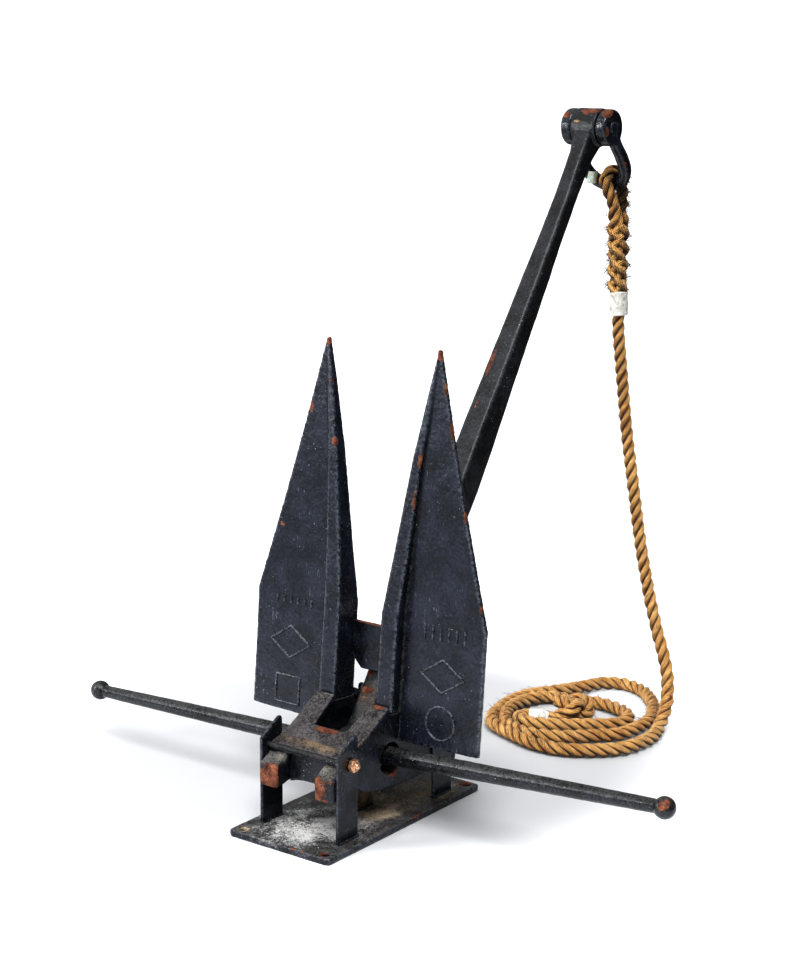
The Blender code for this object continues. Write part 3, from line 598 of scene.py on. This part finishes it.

# %% [markdown]
# ## Cotton twine
#
# The whippings are bleached cotton twine: matt and off-white, greyed in patches and a
# little darker between the turns. The turns are drawn a little coarser than real twine so
# that they show. A second map is not needed, because a band's own map already runs along it.

# %% Colour the whippings
twine, put, shader, coords = new_material("bleached_cotton_twine", Roughness=0.8)
along = put("SeparateXYZ", put("UVMap"), out="X")
ridge = put("Math SINE", put("Math MULTIPLY", along, 2 * math.pi / TURN))
soil = put("TexNoise", coords, 1000 / 9, 5, 0.7)
thread = put("TexNoise", coords, 1000 / 1.6, 2, 0.55)
# The tone follows the turns' ridges, so it is a little darker between the turns.
tone = put("Math MULTIPLY_ADD", ridge, 0.06, soil)
clean = put("MapRange", tone, 0.3, 0.52)
colour = put("Mix", clean, "#b5b0a6", "#efede8")
height = put("Math MULTIPLY_ADD", thread, 0.6, ridge)
wire(shader, Base_Color=colour, Normal=put("Bump", 0.5, 0.4 * MM, None, height))
for band in (splice_band, tail_band):
    band.data.materials.append(twine)
print("twine turns:", round(TURN / MM, 1), "mm apart")

# %% [markdown]
# ## The rope's pieces
#
# The eye hangs on the shackle and the coil lies on the floor. The rope, its tucks, the
# splice's whipping and the fibres keep their places and belong to no body; the tail's
# whipping goes with the stand, and the frame's own rope parts are hidden.

# %% Set the rope's pieces in place
for piece in (rope, tucks, splice_band, fibres):
    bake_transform(piece)
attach(tail_band, STAND)
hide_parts("rope_fall", "rope_coil", "rope_tail", "rope_knot", "rope_eye", "rope_splice")
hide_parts("splice_whipping")
print("rope declared:", round(rope_length, 2), "m of", 2 * ROPE_R * 1000, "mm")

# %% [markdown]
# ## Cast and forged steel
#
# Nothing on an old anchor is flat or sharp: a casting comes out of sand with a lumpy
# skin, and years of knocks round its edges. Each steel piece starts as a copy of its
# exact shapes. A voxel remesh melts them into one skin, which also joins pieces that
# were welded or cast together, a little relaxing rounds the edges, and noise pushes the
# skin in and out by parts of a millimetre. Sculpting would do it too, but noise covers
# every face evenly and can be repeated.
#
# The same step measures each point of the skin: how far it stands out (an edge), how
# far it lies in a hollow, and how much it faces up. Paint wears off edges, shade is
# painted into hollows and dust lands on top, so the materials read these three as a colour
# attribute called "wear".

# %% Melt shapes into one skin
def fused(name, nodes, voxel_mm):
    """The named nodes melted into one skin of small even faces."""
    form = bmesh.new()
    for node in nodes:
        form.from_mesh(frame["nodes"][node].data)
    bmesh.ops.remove_doubles(form, verts=form.verts, dist=0.01 * MM)
    bmesh.ops.recalc_face_normals(form, faces=form.faces)
    rough = bpy.data.meshes.new(name)
    form.to_mesh(rough)
    form.free()
    piece = into_scene(name, rough)
    melt = piece.modifiers.new("melt", "REMESH")
    melt.mode, melt.voxel_size = "VOXEL", voxel_mm * MM
    skin = bpy.data.meshes.new_from_object(piece.evaluated_get(bpy.context.evaluated_depsgraph_get()))
    piece.modifiers.clear()
    piece.data = skin
    skin.name = name
    return piece


print("steel nodes to melt:", sum(1 for node in frame["nodes"] if not node.startswith(("rope", "splice"))))

# %% Weather a skin
def averaged(values, ends, counts):
    """Each point's value replaced by the mean of its neighbours."""
    total = np.zeros_like(values)
    for k in range(values.shape[1]):
        total[:, k] += np.bincount(ends[:, 0], values[ends[:, 1], k], len(values))
        total[:, k] += np.bincount(ends[:, 1], values[ends[:, 0], k], len(values))
    return total / counts[:, None]


def weather(piece, lump_mm, pit_mm, relax):
    """Rounds, dents and pits a piece's skin, and stores how each point stands out, lies in a hollow and
    faces up.
    """
    mesh, full = piece.data, 0.35
    # Relief is measured in mm from the mean of a point's neighbours, and counts as full at 0.35.
    ends = np.empty(len(mesh.edges) * 2, int)
    mesh.edges.foreach_get("vertices", ends)
    ends = ends.reshape(-1, 2)
    counts = np.maximum(1, np.bincount(ends.ravel(), minlength=len(mesh.vertices)))
    points, normals = read(mesh, "co"), read(mesh, "normal")
    proud = ((points - averaged(points, ends, counts)) * normals).sum(1, keepdims=True) / MM
    for _ in range(relax):
        points = 0.5 * points + 0.5 * averaged(points, ends, counts)
    for _ in range(2):
        proud = 0.4 * proud + 0.6 * averaged(proud, ends, counts)
    # Lumps are about 24 mm across and pits about 5 mm.
    push = np.array([
        lump_mm * noise.fractal(Vector(p) * 42, 1.0, 2.1, 3)
        + pit_mm * noise.fractal(Vector(p) * 190, 0.8, 2.2, 2) for p in points])
    points += normals * (push * MM)[:, None]
    mesh.vertices.foreach_set("co", points.ravel())
    worn = np.ones((len(points), 4))
    worn[:, 0:1] = np.clip(proud / full, 0, 1)
    worn[:, 1:2] = np.clip(-proud / full, 0, 1)
    worn[:, 2] = np.clip(normals[:, 2], 0, 1)
    mesh.attributes.new("wear", "FLOAT_COLOR", "POINT").data.foreach_set("color", worn.ravel())
    mesh.update()
    mesh.shade_smooth()


print("wear: red for edges, green for hollows, blue for what faces up")

# %% Cast and forge the pieces
def steel(name, nodes, voxel_mm, lump_mm=0.35, pit_mm=0.12, body=STAND, relax=2):
    """A weathered skin over the named nodes, on its body and in place of them. Its cells are
    voxel_mm wide, and lumps and pits push it in and out by so many mm."""
    piece = fused(name, nodes, voxel_mm)
    weather(piece, lump_mm, pit_mm, relax)
    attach(piece, body)
    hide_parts(*nodes)
    print(name, len(piece.data.polygons), "faces")
    return piece


def corners_of(node):
    """The four nodes of a piece that is there front and rear, left and right."""
    return [f"{node}_{end}_{side}" for end in ("front", "rear") for side in ("left", "right")]


CROWN_NODES = ["crown_cheek_left", "crown_cheek_right", "palm_front", "palm_rear", "crown_wall_front",
               "crown_wall_rear"]
LIPS = ("palm_lip_front", "palm_lip_rear")
crown = steel("crown_casting", CROWN_NODES, 2.0, 0.7, 0.25)
lips = [steel("rough_" + node, [node], 1.1, 1.3, 0.5) for node in LIPS]
noses = [steel("worn_" + node, [node], 1.3, 0.7, 0.3) for node in corners_of("nose")]
flukes = [steel("cast_" + node, [node], 2.2, 0.32, 0.12) for node in ("fluke_left", "fluke_right")]
shank = steel("forged_shank", ["shank"], 2.2, 0.5, 0.12)
stock = steel("forged_stock", ["stock_rod", "stock_ball_left", "stock_ball_right"], 1.8, 0.3, 0.1)
bow = steel("forged_shackle_bow", ["shackle_bow"], 1.5, 0.4, 0.15, SHACKLE, relax=16)
pin = steel("forged_shackle_pin", ["shackle_pin"], 1.2, 0.2, 0.08, SHACKLE)
lugs = [steel("plate_" + node, [node], 1.3, 0.22, 0.05) for node in corners_of("lug")]
base = steel("flame_cut_base", ["base_plate"], 2.2, 0.35, 0.12)
block = steel("welded_block", ["support_block"], 1.5, 0.5, 0.3)
bridge = steel("bridge_strap", ["bridge_plate"], 1.5, 0.3, 0.12)
fasteners = [steel("rusty_" + side, [node + side for node in ("lug_bolt_", "lug_nut_")], 0.8, 0.15, 0.06,
                   relax=1) for side in ("left", "right")]

# %% [markdown]
# ## Weathered black enamel
#
# Most of the steel wears one finish: blue-black enamel brushed over a cast or forged
# skin. It is built up as it aged, one short function for each layer. A material could be
# painted by hand, but rules like these carry on round the back, where nobody looked.
#
# The coat comes first. It has a cloudy tone of its own, is burnished to a lighter grey at
# its edges, is painted nearly black in its hollows as shade and is scratched up and down.
# Everything on it reads three sizes of pattern: clouds, grit and fine grain.

# %% Brush on the coat
CLOUD, GRIT, FINE = 1000 / 45, 1000 / 5, 1000 / 1.6


def worn_coat(put, coords, edge, hollow, cloud, grit, scuffs, tones):
    """The enamel's own colour with painted shade in its hollows, and where it is scratched."""
    tone = sum_of(put, 0, (cloud, 0.6), (grit, 0.45))
    paint = put("Mix", put("MapRange", tone, 0.42, 0.66), *tones)
    burnish = put("Math MULTIPLY", edge, put("MapRange", grit, 0.35, 0.6))
    burnish = put("Math MULTIPLY", burnish, scuffs * 1.8)
    paint = put("Mix", burnish, paint, "#6b7079")
    drawn_out = put("VectorMath MULTIPLY", coords, (0.9, 1.0, 0.1))
    line = put("TexNoise", drawn_out, 1000 / 1.8, 2, 0.5, 2, 0.6)
    line = put("MapRange", line, 0.66, 0.72)
    scratch = put("Math MULTIPLY", line, put("MapRange", cloud, 0.46, 0.6))
    paint = put("Mix", put("Math MULTIPLY", scratch, scuffs), paint, "#868a92")
    # Painted shade: the hollows are darkened to nearly black.
    painted_hollow_shade = put("Math MULTIPLY", put("MapRange", hollow, 0.0, 0.5), 0.95)
    return put("Mix", painted_hollow_shade, paint, "#040405"), scratch


print("enamel patterns:", [round(1000 / scale, 1) for scale in (CLOUD, GRIT, FINE)], "mm")

# %% [markdown]
# ## Dust, soils and lime
#
# Dust lies in grains on whatever faces up. Tan dirt and white lime lie only where they
# were trodden or blown in, so each soil has a place: 1 at its middle and 0 at the rim of
# an ellipsoid round it. White lime specks dried wherever rain splashed. Real dust is far
# too fine to show, so its grains are drawn one or two millimetres across.

# %% Let the dust settle
def near(put, coords, centre, size):
    """1 at a centre, falling to 0 at an ellipsoid of half-sizes size, all in mm."""
    shifted = put("VectorMath SUBTRACT", coords, Vector(centre) * MM)
    scaled = put("VectorMath MULTIPLY", shifted, [1000 / s for s in size])
    return put("MapRange", put("VectorMath LENGTH", scaled), 1.0, 0.25)


def dusty(put, paint, coords, up, cloud, grit, fine, film, film_colour, soils, specks):
    """The paint with dust, soils and lime specks on it, and how thick the powder lies."""
    grains = sum_of(put, 0, (cloud, 0.22), (grit, 0.3), (fine, 0.62))
    lying = put("Clamp", put("Math MULTIPLY_ADD", up, 1.3, -0.35))
    lying = put("Math MULTIPLY", lying, film)
    powder = put("Math MULTIPLY", lying, put("MapRange", grains, 0.5, 0.63))
    paint = put("Mix", powder, paint, film_colour)
    for centre, size, strength, hue in soils:
        here = put("Math MULTIPLY", near(put, coords, centre, size), strength)
        spread = put("MapRange", sum_of(put, grains, (cloud, 0.35), (here, 0.2)), 0.8, 0.98)
        full = put("Clamp", put("Math MULTIPLY", here, 2.0))
        spread = put("Math MULTIPLY", spread, full)
        paint = put("Mix", spread, paint, hue)
        powder = put("Math MAXIMUM", powder, spread)
    clump = put("MapRange", put("TexNoise", coords, 1000 / 70, 2, 0.5), 0.42, 0.62)
    speck, least = put("TexNoise", coords, 1000 / 3.0, 1, 0.4), 0.775 - 0.06 * specks
    speck = put("MapRange", speck, least, least + 0.025)
    speck = put("Math MULTIPLY", speck, clump)
    return put("Mix", speck, paint, "#b9bbbd"), powder


print("lime specks about 3 mm across, in clumps of about 70 mm")

# %% [markdown]
# ## Rust
#
# Rust breaks through at edges and in patches: a chip shows red-brown scale with orange
# powder and dark crusts, and a dark brown stain creeps out under the paint round it. Each
# casting also rusts where it was hit or where water stood, so it has places of its own.

# %% Let the rust through
def rust_colour(put, coords):
    """Red-brown scale with orange powder and dark crusts."""
    broad = put("TexNoise", coords, 1000 / 16, 4, 0.6)
    small = put("TexNoise", coords, 1000 / 2.5, 4, 0.7)
    tone = sum_of(put, 0, (broad, 0.5), (small, 0.5))
    scale = put("MapRange", tone, 0.36, 0.52)
    crust = put("Mix", scale, "#33231c", "#774836")
    return put("Mix", put("MapRange", tone, 0.5, 0.66), crust, "#a87458")


def rusted(put, paint, coords, edge, rust, rusty):
    """The paint with rust breaking through it, and where it has chipped off."""
    flakes = put("TexNoise", coords, 1000 / 6.5, 4, 0.62)
    patches = put("TexNoise", coords, 1000 / 38, 3, 0.6)
    places = [(near(put, coords, centre, size), strength) for centre, size, strength in rusty]
    urge = sum_of(put, 0, (flakes, 0.42), (patches, 0.62), (edge, 0.12 + 0.14 * rust), *places)
    gate = 0.80 - 0.16 * rust
    rim = put("MapRange", urge, gate - 0.04, gate)
    chip = put("MapRange", urge, gate, gate + 0.02)
    paint = put("Mix", put("Math MULTIPLY", rim, 0.7), paint, "#33221b")
    return put("Mix", chip, paint, rust_colour(put, coords)), chip


print("rust chips about 6 mm across, in patches of about 38 mm")

# %% [markdown]
# ## The hammered skin
#
# A casting's skin is dimpled where it lay in the sand, and brush marks do not hide it.
# Real shape carries the large lumps; a bump carries the dimples, the grit and the step
# down from the paint to the rust. Powder and rust are matt and bare paint is half glossy,
# so a low light picks out what is clean.

# %% Put the layers together
def enamel(name, rust=0.3, skin=1.0, gloss=0.40, scuffs=0.3, specks=0.3, film=0.2, soils=(), rusty=(),
           film_colour="#77726a", tones=("#0a0c11", "#282e3b")):
    """Black paint over steel. rust, scuffs, specks and film are shares from 0 to 1. soils are
    (centre, half-sizes, strength, colour) and rusty (centre, half-sizes, strength), in mm."""
    material, put, shader, coords = new_material(name)
    worn = put("Attribute", out="Color", attribute_name="wear")
    edge, hollow, up = put("SeparateColor", worn).node.outputs
    cloud = put("TexNoise", coords, CLOUD, 4, 0.6)
    grit = put("TexNoise", coords, GRIT, 4, 0.65)
    fine = put("TexNoise", coords, FINE, 3, 0.6)
    paint, scratch = worn_coat(put, coords, edge, hollow, cloud, grit, scuffs, tones)
    paint, powder = dusty(put, paint, coords, up, cloud, grit, fine, film, film_colour, soils, specks)
    colour, chip = rusted(put, paint, coords, edge, rust, rusty)

    matt = sum_of(put, gloss - 0.21, (grit, 0.3), (powder, 0.45))
    matt = put("Math MAXIMUM", matt, put("Math MULTIPLY", chip, 0.88))

    lumps = put("TexNoise", coords, 1000 / 12, 2, 0.55)
    dimple = put("TexVoronoi", coords, 1000 / 7.5, feature="SMOOTH_F1")
    sunk, heaped = sum_of(put, -0.6, (fine, 0.9)), sum_of(put, 0, (fine, 0.8))
    height = sum_of(put, 0, (lumps, 1.3 * skin), (dimple, 0.6 * skin), (grit, 0.6 * skin),
                    (fine, 0.22 * skin), (chip, sunk), (powder, heaped), (scratch, -0.2))
    relief = put("Bump", 0.9, 1.3 * MM, None, height)
    wire(shader, Base_Color=colour, Roughness=matt, Normal=relief)
    return material


WHITE_LIME, TAN_DIRT, SAND, GREY_DUST = "#d4d4d3", "#8f7c66", "#b3a48f", "#8a857e"
print("skin dimples about 7.5 mm across")

# %% [markdown]
# ## One coat for each kind of steel
#
# The same enamel has aged differently on each casting and forging: the blades are nearly
# bare of dust, the crown is grey with it, and the noses have rusted through. Each coat
# below gives shares for its wear, then the places where soil lies and rust breaks out.

# %% Paint the blades and the crown
# Smooth cast blades: the bluest coat, half glossy, with rust down the edges.
fluke_paint = enamel(
    "fluke_enamel_over_cast_steel", rust=0.22, skin=0.42, gloss=0.34, scuffs=0.6, specks=0.35, film=0.1,
    tones=("#161a22", "#292e3b"), rusty=[
        ((-115, 70, 818), (14, 30, 14), 0.30), ((121, 70, 819), (14, 30, 22), 0.45),
        ((-105, 58, 757), (7, 12, 30), 0.24), ((-87, 44, 647), (10, 12, 11), 0.34),
        ((-146, 55, 699), (9, 12, 26), 0.2), ((-200, 36, 485), (11, 12, 9), 0.38),
        ((-84, 16, 400), (4, 20, 90), 0.20), ((137, 67, 758), (9, 14, 25), 0.22),
        ((155, 60, 700), (10, 14, 45), 0.26), ((192, 48, 556), (9, 12, 25), 0.2),
        ((98, 42, 637), (8, 12, 30), 0.17), ((92, 35, 560), (8, 12, 40), 0.16),
        ((232, 34, 399), (9, 12, 25), 0.2), ((241, 20, 242), (9, 14, 25), 0.24)])
# The crown's lumpy casting: warm grey dust on all that faces up, black below.
crown_paint = enamel(
    "crown_enamel_under_dust", rust=0.30, skin=0.9, gloss=0.46, scuffs=0.25, specks=0.6, film=0.85,
    film_colour="#7c7471",
    soils=[((0, -124, 160), (110, 20, 20), 0.75, TAN_DIRT), ((0, 144, 138), (110, 24, 40), 0.6, TAN_DIRT),
           ((-55, -20, 212), (30, 30, 20), 0.6, GREY_DUST)],
    rusty=[((0, -84, 175), (42, 11, 16), 0.40), ((62, -19, 211), (20, 9, 10), 0.28),
           ((-35, -118, 161), (30, 10, 8), 0.2), ((20, -124, 160), (24, 10, 8), 0.22),
           ((79, -6, 88), (20, 26, 14), 0.2)])
# The palm's rough lip: black and very rough, so that no light slides along it.
lip_paint = enamel("rough_black_lip", rust=0.25, skin=1.4, gloss=0.55, scuffs=0.2, specks=1.0, film=0.2,
                   tones=("#08080a", "#1d1e22"))
# The noses below it: dust and red scale in equal parts, with little paint left.
nose_paint = enamel(
    "nose_enamel_rusted_through", rust=0.50, skin=0.9, gloss=0.5, scuffs=0.2, specks=0.8, film=0.9,
    film_colour=GREY_DUST,
    soils=[((0, -150, 137), (90, 26, 22), 0.9, GREY_DUST), ((0, 165, 120), (90, 30, 30), 0.8, GREY_DUST)],
    rusty=[((0, -172, 104), (120, 12, 62), 0.40), ((0, 189, 78), (120, 14, 60), 0.40)])
print("crown paint:", len(crown_paint.node_tree.nodes), "nodes")

# %% Paint the forgings
# The shank: a neutral black, half matt, with rust at its ends and down one side.
shank_paint = enamel(
    "shank_enamel_over_forging", rust=0.28, skin=0.5, gloss=0.45, scuffs=0.12, specks=0.5, film=0.15,
    tones=("#17181b", "#2e3137"), rusty=[
        ((-12, 414, 740), (7, 34, 60), 0.30), ((-8, 362, 678), (7, 20, 34), 0.24),
        ((3, 704, 1194), (30, 24, 15), 0.38), ((-14, 53, 243), (18, 16, 14), 0.42),
        ((-5, 33, 215), (20, 12, 14), 0.30), ((-8, 21, 200), (20, 10, 10), 0.3)],
    soils=[((-12, 689, 1175), (12, 8, 5), 1.1, "#b39a78"), ((0, 25, 205), (30, 40, 50), 0.6, TAN_DIRT)])
# The stock's round bar: dark and rather glossy, so one long highlight runs along it.
stock_paint = enamel(
    "stock_enamel_over_forging", rust=0.24, skin=0.5, gloss=0.32, scuffs=0.4, specks=0.35, film=0.30,
    tones=("#08090c", "#20232a"),
    rusty=[((622, -24, 172), (20, 24, 22), 0.22), ((-618, -16, 108), (16, 16, 16), 0.12)])
# The shackle: glossy paint that chips to bright rust and is peppered with lime.
shackle_paint = enamel(
    "shackle_enamel_chipped", rust=0.34, skin=0.6, gloss=0.28, scuffs=0.6, specks=0.9, film=0.2,
    rusty=[
        ((-40, 697, 1186), (15, 22, 17), 0.38), ((46, 705, 1191), (15, 22, 14), 0.38),
        ((48, 698, 1156), (8, 10, 18), 0.32), ((55, 759, 1092), (9, 14, 12), 0.26)])
print("shank paint:", len(shank_paint.node_tree.nodes), "nodes")

# %% Paint the stand
# Rolled plate for the lugs: the smoothest skin, scuffed, with dirt at the foot.
lug_paint = enamel(
    "lug_enamel_over_plate", rust=0.18, skin=0.22, gloss=0.28, scuffs=0.6, specks=0.5, film=0.1,
    soils=[((0, -135, 12), (95, 40, 22), 0.7, TAN_DIRT), ((0, 135, 12), (95, 40, 22), 0.7, TAN_DIRT)],
    rusty=[((85, -135, 16), (10, 34, 14), 0.16)])
# The base plate: a white bloom of lime and sand over the black, rusty at its rim.
base_paint = enamel(
    "base_enamel_with_lime_dust", rust=0.32, skin=0.5, gloss=0.46, scuffs=0.4, specks=0.8, film=0.5,
    film_colour=GREY_DUST, soils=[
        ((-10, -112, 12), (135, 165, 30), 0.9, WHITE_LIME), ((34, 30, 12), (80, 120, 30), 0.85, SAND),
        ((50, 130, 12), (80, 110, 30), 0.8, SAND), ((-88, -204, 12), (17, 17, 10), 1.2, "#c9b79c")],
    rusty=[((90, -202, 12), (15, 15, 8), 0.18), ((90, 202, 12), (22, 22, 8), 0.20),
           ((109, 60, 10), (12, 90, 10), 0.14), ((40, -214, 12), (60, 8, 8), 0.16)])
# The block under the crown: rough, and tan with dirt that nothing ever wiped off.
block_paint = enamel("block_under_tan_dirt", rust=0.4, skin=1.4, gloss=0.6, scuffs=0.2, specks=0.6, film=0.8,
                     soils=[((0, 0, 40), (60, 80, 80), 0.9, TAN_DIRT)])
# The bridge strap: plain black with one rusty edge.
bridge_paint = enamel(
    "bridge_enamel_rusty_edge", rust=0.26, skin=0.5, gloss=0.36, scuffs=0.4, specks=0.3, film=0.3,
    rusty=[((0, 45, 336), (80, 24, 12), 0.34)])
print("base paint:", len(base_paint.node_tree.nodes), "nodes")

# %% [markdown]
# ## Rusted steel fasteners
#
# The two bolts with their nuts are bare steel under a thin bloom of rust, which gives
# them the warm shine of old copper. Where the bloom has grown into a crust, the metal is
# gone: the same mask drops the metallic value and raises the roughness.

# %% Rust the fasteners
bolt_metal, put, shader, coords = new_material("coppery_rusted_fastener")
patch = put("TexNoise", coords, 1000 / 7, 4, 0.6)
fine = put("TexNoise", coords, 1000 / 1.4, 3, 0.55)
crust = put("MapRange", patch, 0.56, 0.66)
bloom = put("MapRange", fine, 0.35, 0.65)
bright = put("Mix", bloom, "#c08663", "#f2cfb2")
colour = put("Mix", crust, bright, rust_colour(put, coords))
metal = put("Math MULTIPLY_ADD", crust, -0.8, 0.8)
matt = put("Math MULTIPLY_ADD", crust, 0.45, 0.34)
relief = put("Bump", 0.6, 0.4 * MM, None, fine)
wire(shader, Base_Color=colour, Metallic=metal, Roughness=matt, Normal=relief)
print("fastener metal:", len(shader.id_data.nodes), "nodes")

# %% Put the finishes on the steel
for pieces, coat in (
    (flukes, fluke_paint), ([crown], crown_paint), (lips, lip_paint), (noses, nose_paint),
    ([shank], shank_paint), ([stock], stock_paint), (lugs, lug_paint), ([bow, pin], shackle_paint),
    ([base], base_paint), ([block], block_paint), ([bridge], bridge_paint), (fasteners, bolt_metal),
):
    for piece in pieces:
        piece.data.materials.clear()
        piece.data.materials.append(coat)
print("materials made:", len(bpy.data.materials))

# %% [markdown]
# ## Raised marks, welds and grit
#
# Small raised shapes tell how the thing was made. A founder casts shallow beads into the
# blades as marks: here a plain square and a ring, with blank bars and a diamond where a
# maker would put words and a badge. Where the lugs meet the base, a welder has run a
# lumpy bead. Grit and flakes of lime have gathered on the plate between the lugs.

# %% Raise the marks on the blades
def beads(name, lines, radius, push, pitch, edge, coat):
    """Rough raised beads along lines, painted like the steel they lie on. Their wear is an
    edge's all over, and dust where they face up."""
    made = bars(name, lines, radius)
    roughen(made, push, pitch)
    up = np.clip(read(made.data, "normal")[:, 2:], 0, 1)
    worn = np.hstack([np.full_like(up, edge), np.zeros_like(up), up, np.ones_like(up)])
    made.data.attributes.new("wear", "FLOAT_COLOR", "POINT").data.foreach_set("color", worn.ravel())
    made.data.materials.append(coat)
    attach(made, STAND)
    print(name, len(lines), "beads,", len(made.data.polygons), "faces")


BLADE_LEAN = Matrix.Translation((0, 0.00985, 0.120)) @ Matrix.Rotation(math.radians(-4.957), 4, "X")
BLADE_FACE = -4.6


def on_blade(across, height):
    """A point on the front of a blade, from mm across the anchor and up the blade."""
    return BLADE_LEAN @ (Vector((across, BLADE_FACE, height)) * MM)


def loop(corners, steps=7):
    """A closed line through the corners with straight sides."""
    line = []
    for first, second in zip(corners, corners[1:] + corners[:1]):
        line += [on_blade(*(Vector(first).lerp(Vector(second), k / steps))) for k in range(steps)]
    return np.array([*line, line[0], line[1]])


square = loop([(-195, 95), (-142, 95), (-142, 45), (-195, 45)])
turns = [math.radians(10 * k) for k in range(36)]
ring = loop([(167 + 29 * math.cos(turn), 75.7 + 29 * math.sin(turn)) for turn in turns], 1)
diamonds = [loop([(x - 44, 157), (x, 186), (x + 44, 157), (x, 128)]) for x in (-167, 166)]
bars_left = [np.array([on_blade(-201 + 15.5 * k, q) for q in (227, 233, 239)]) for k in range(6)]
bars_right = [np.array([on_blade(125 + 16.5 * k, q) for q in (217, 230, 243)]) for k in range(6)]
lines = [square, ring, *diamonds, *bars_left, *bars_right]
beads("raised_blade_marks", lines, 2.5 * MM, 0.6 * MM, 180, 0.45, fluke_paint)

# %% Run the weld beads
seams = []
for side in (-1, 1):
    for end in (-1, 1):
        for x in (79.4, 85.4):
            seams.append(np.array([(side * x, end * y, 13.0) for y in np.arange(109, 163, 3.0)]) * MM)
seams += [np.array([(x, y, 13.0) for y in np.arange(-21, 24, 3.0)]) * MM for x in (-15.5, 15.5)]
beads("weld_beads", seams, 2.4 * MM, 1.1 * MM, 260, 0.3, lug_paint)

# %% Scatter the grit
chance = random.Random(21)
grit_form = bmesh.new()
for _ in range(420):
    x, y = chance.gauss(-5, 34), chance.choice((chance.gauss(-125, 42), chance.gauss(30, 60)))
    if abs(x) > 74 or abs(y) > 205 or (abs(x) < 18 and -26 < y < 28):
        continue
    size = Vector([chance.uniform(0.4, 1.3) * MM for _ in range(3)])
    turn = Matrix.Rotation(chance.uniform(0, 6.3), 4, "Z") @ Matrix.Diagonal((*size, 1))
    bmesh.ops.create_icosphere(grit_form, subdivisions=1, radius=1.0,
                               matrix=Matrix.Translation((x * MM, y * MM, 0.0123)) @ turn)
grit_mesh = bpy.data.meshes.new("lime_grit")
grit_form.to_mesh(grit_mesh)
grit_form.free()
grit = into_scene("lime_grit", grit_mesh)
# Crumbs of lime and rust scale: dead matt, each mostly pale or mostly brown.
grit_stone, put, shader, coords = new_material("lime_and_rust_grit", Roughness=0.9)
kind = put("MapRange", put("TexNoise", coords, 1000 / 5, 2, 0.55), 0.45, 0.56)
wire(shader, Base_Color=put("Mix", kind, "#7b5c43", "#dcdad4"))
grit_mesh.materials.append(grit_stone)
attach(grit, STAND)
print("grit:", len(grit_mesh.polygons), "faces")

# %% [markdown]
# ## A scrap of tape
#
# A torn scrap of pale, milky tape is still stuck round the low left side of the shackle's
# bow. It is a small sheet bent over the bar and crumpled by noise, and light passes
# through it a little.

# %% Stick on the tape
tape_form = bmesh.new()
bmesh.ops.create_grid(tape_form, x_segments=12, y_segments=8, size=0.5)
centre = HEAD + HANGS * 0.118 + Vector((-0.033, -0.004, 0))
along_x, along_z = Vector((0.86, 0.5, 0)), Vector((0.12, 0, 1)).normalized()
face_out = along_x.cross(along_z)
for v in tape_form.verts:
    a, b = v.co.x * 0.019, v.co.y * 0.024
    crumple = 0.0022 * noise.noise(Vector((a, b, 0.3)) * 150)
    v.co = centre + along_x * a + along_z * b + face_out * (0.015 - 60 * a * a + crumple)
tape_mesh = bpy.data.meshes.new("tape_scrap")
tape_form.to_mesh(tape_mesh)
tape_form.free()
tape_mesh.shade_smooth()
tape = into_scene("tape_scrap", tape_mesh)
tape.modifiers.new("thickness", "SOLIDIFY").thickness = 0.3 * MM
# Milky plastic film: half glossy, and light that enters it comes out a little way off.
tape_film, put, shader, coords = new_material(
    "milky_torn_tape", Roughness=0.4, Subsurface_Weight=0.4, Subsurface_Scale=3 * MM)
milk = put("MapRange", put("TexNoise", coords, 1000 / 6, 3, 0.55), 0.35, 0.65)
wire(shader, Base_Color=put("Mix", milk, "#d2cfbd", "#efeee6"))
tape_mesh.materials.append(tape_film)
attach(tape, SHACKLE)
print("tape:", len(tape_mesh.polygons), "faces")
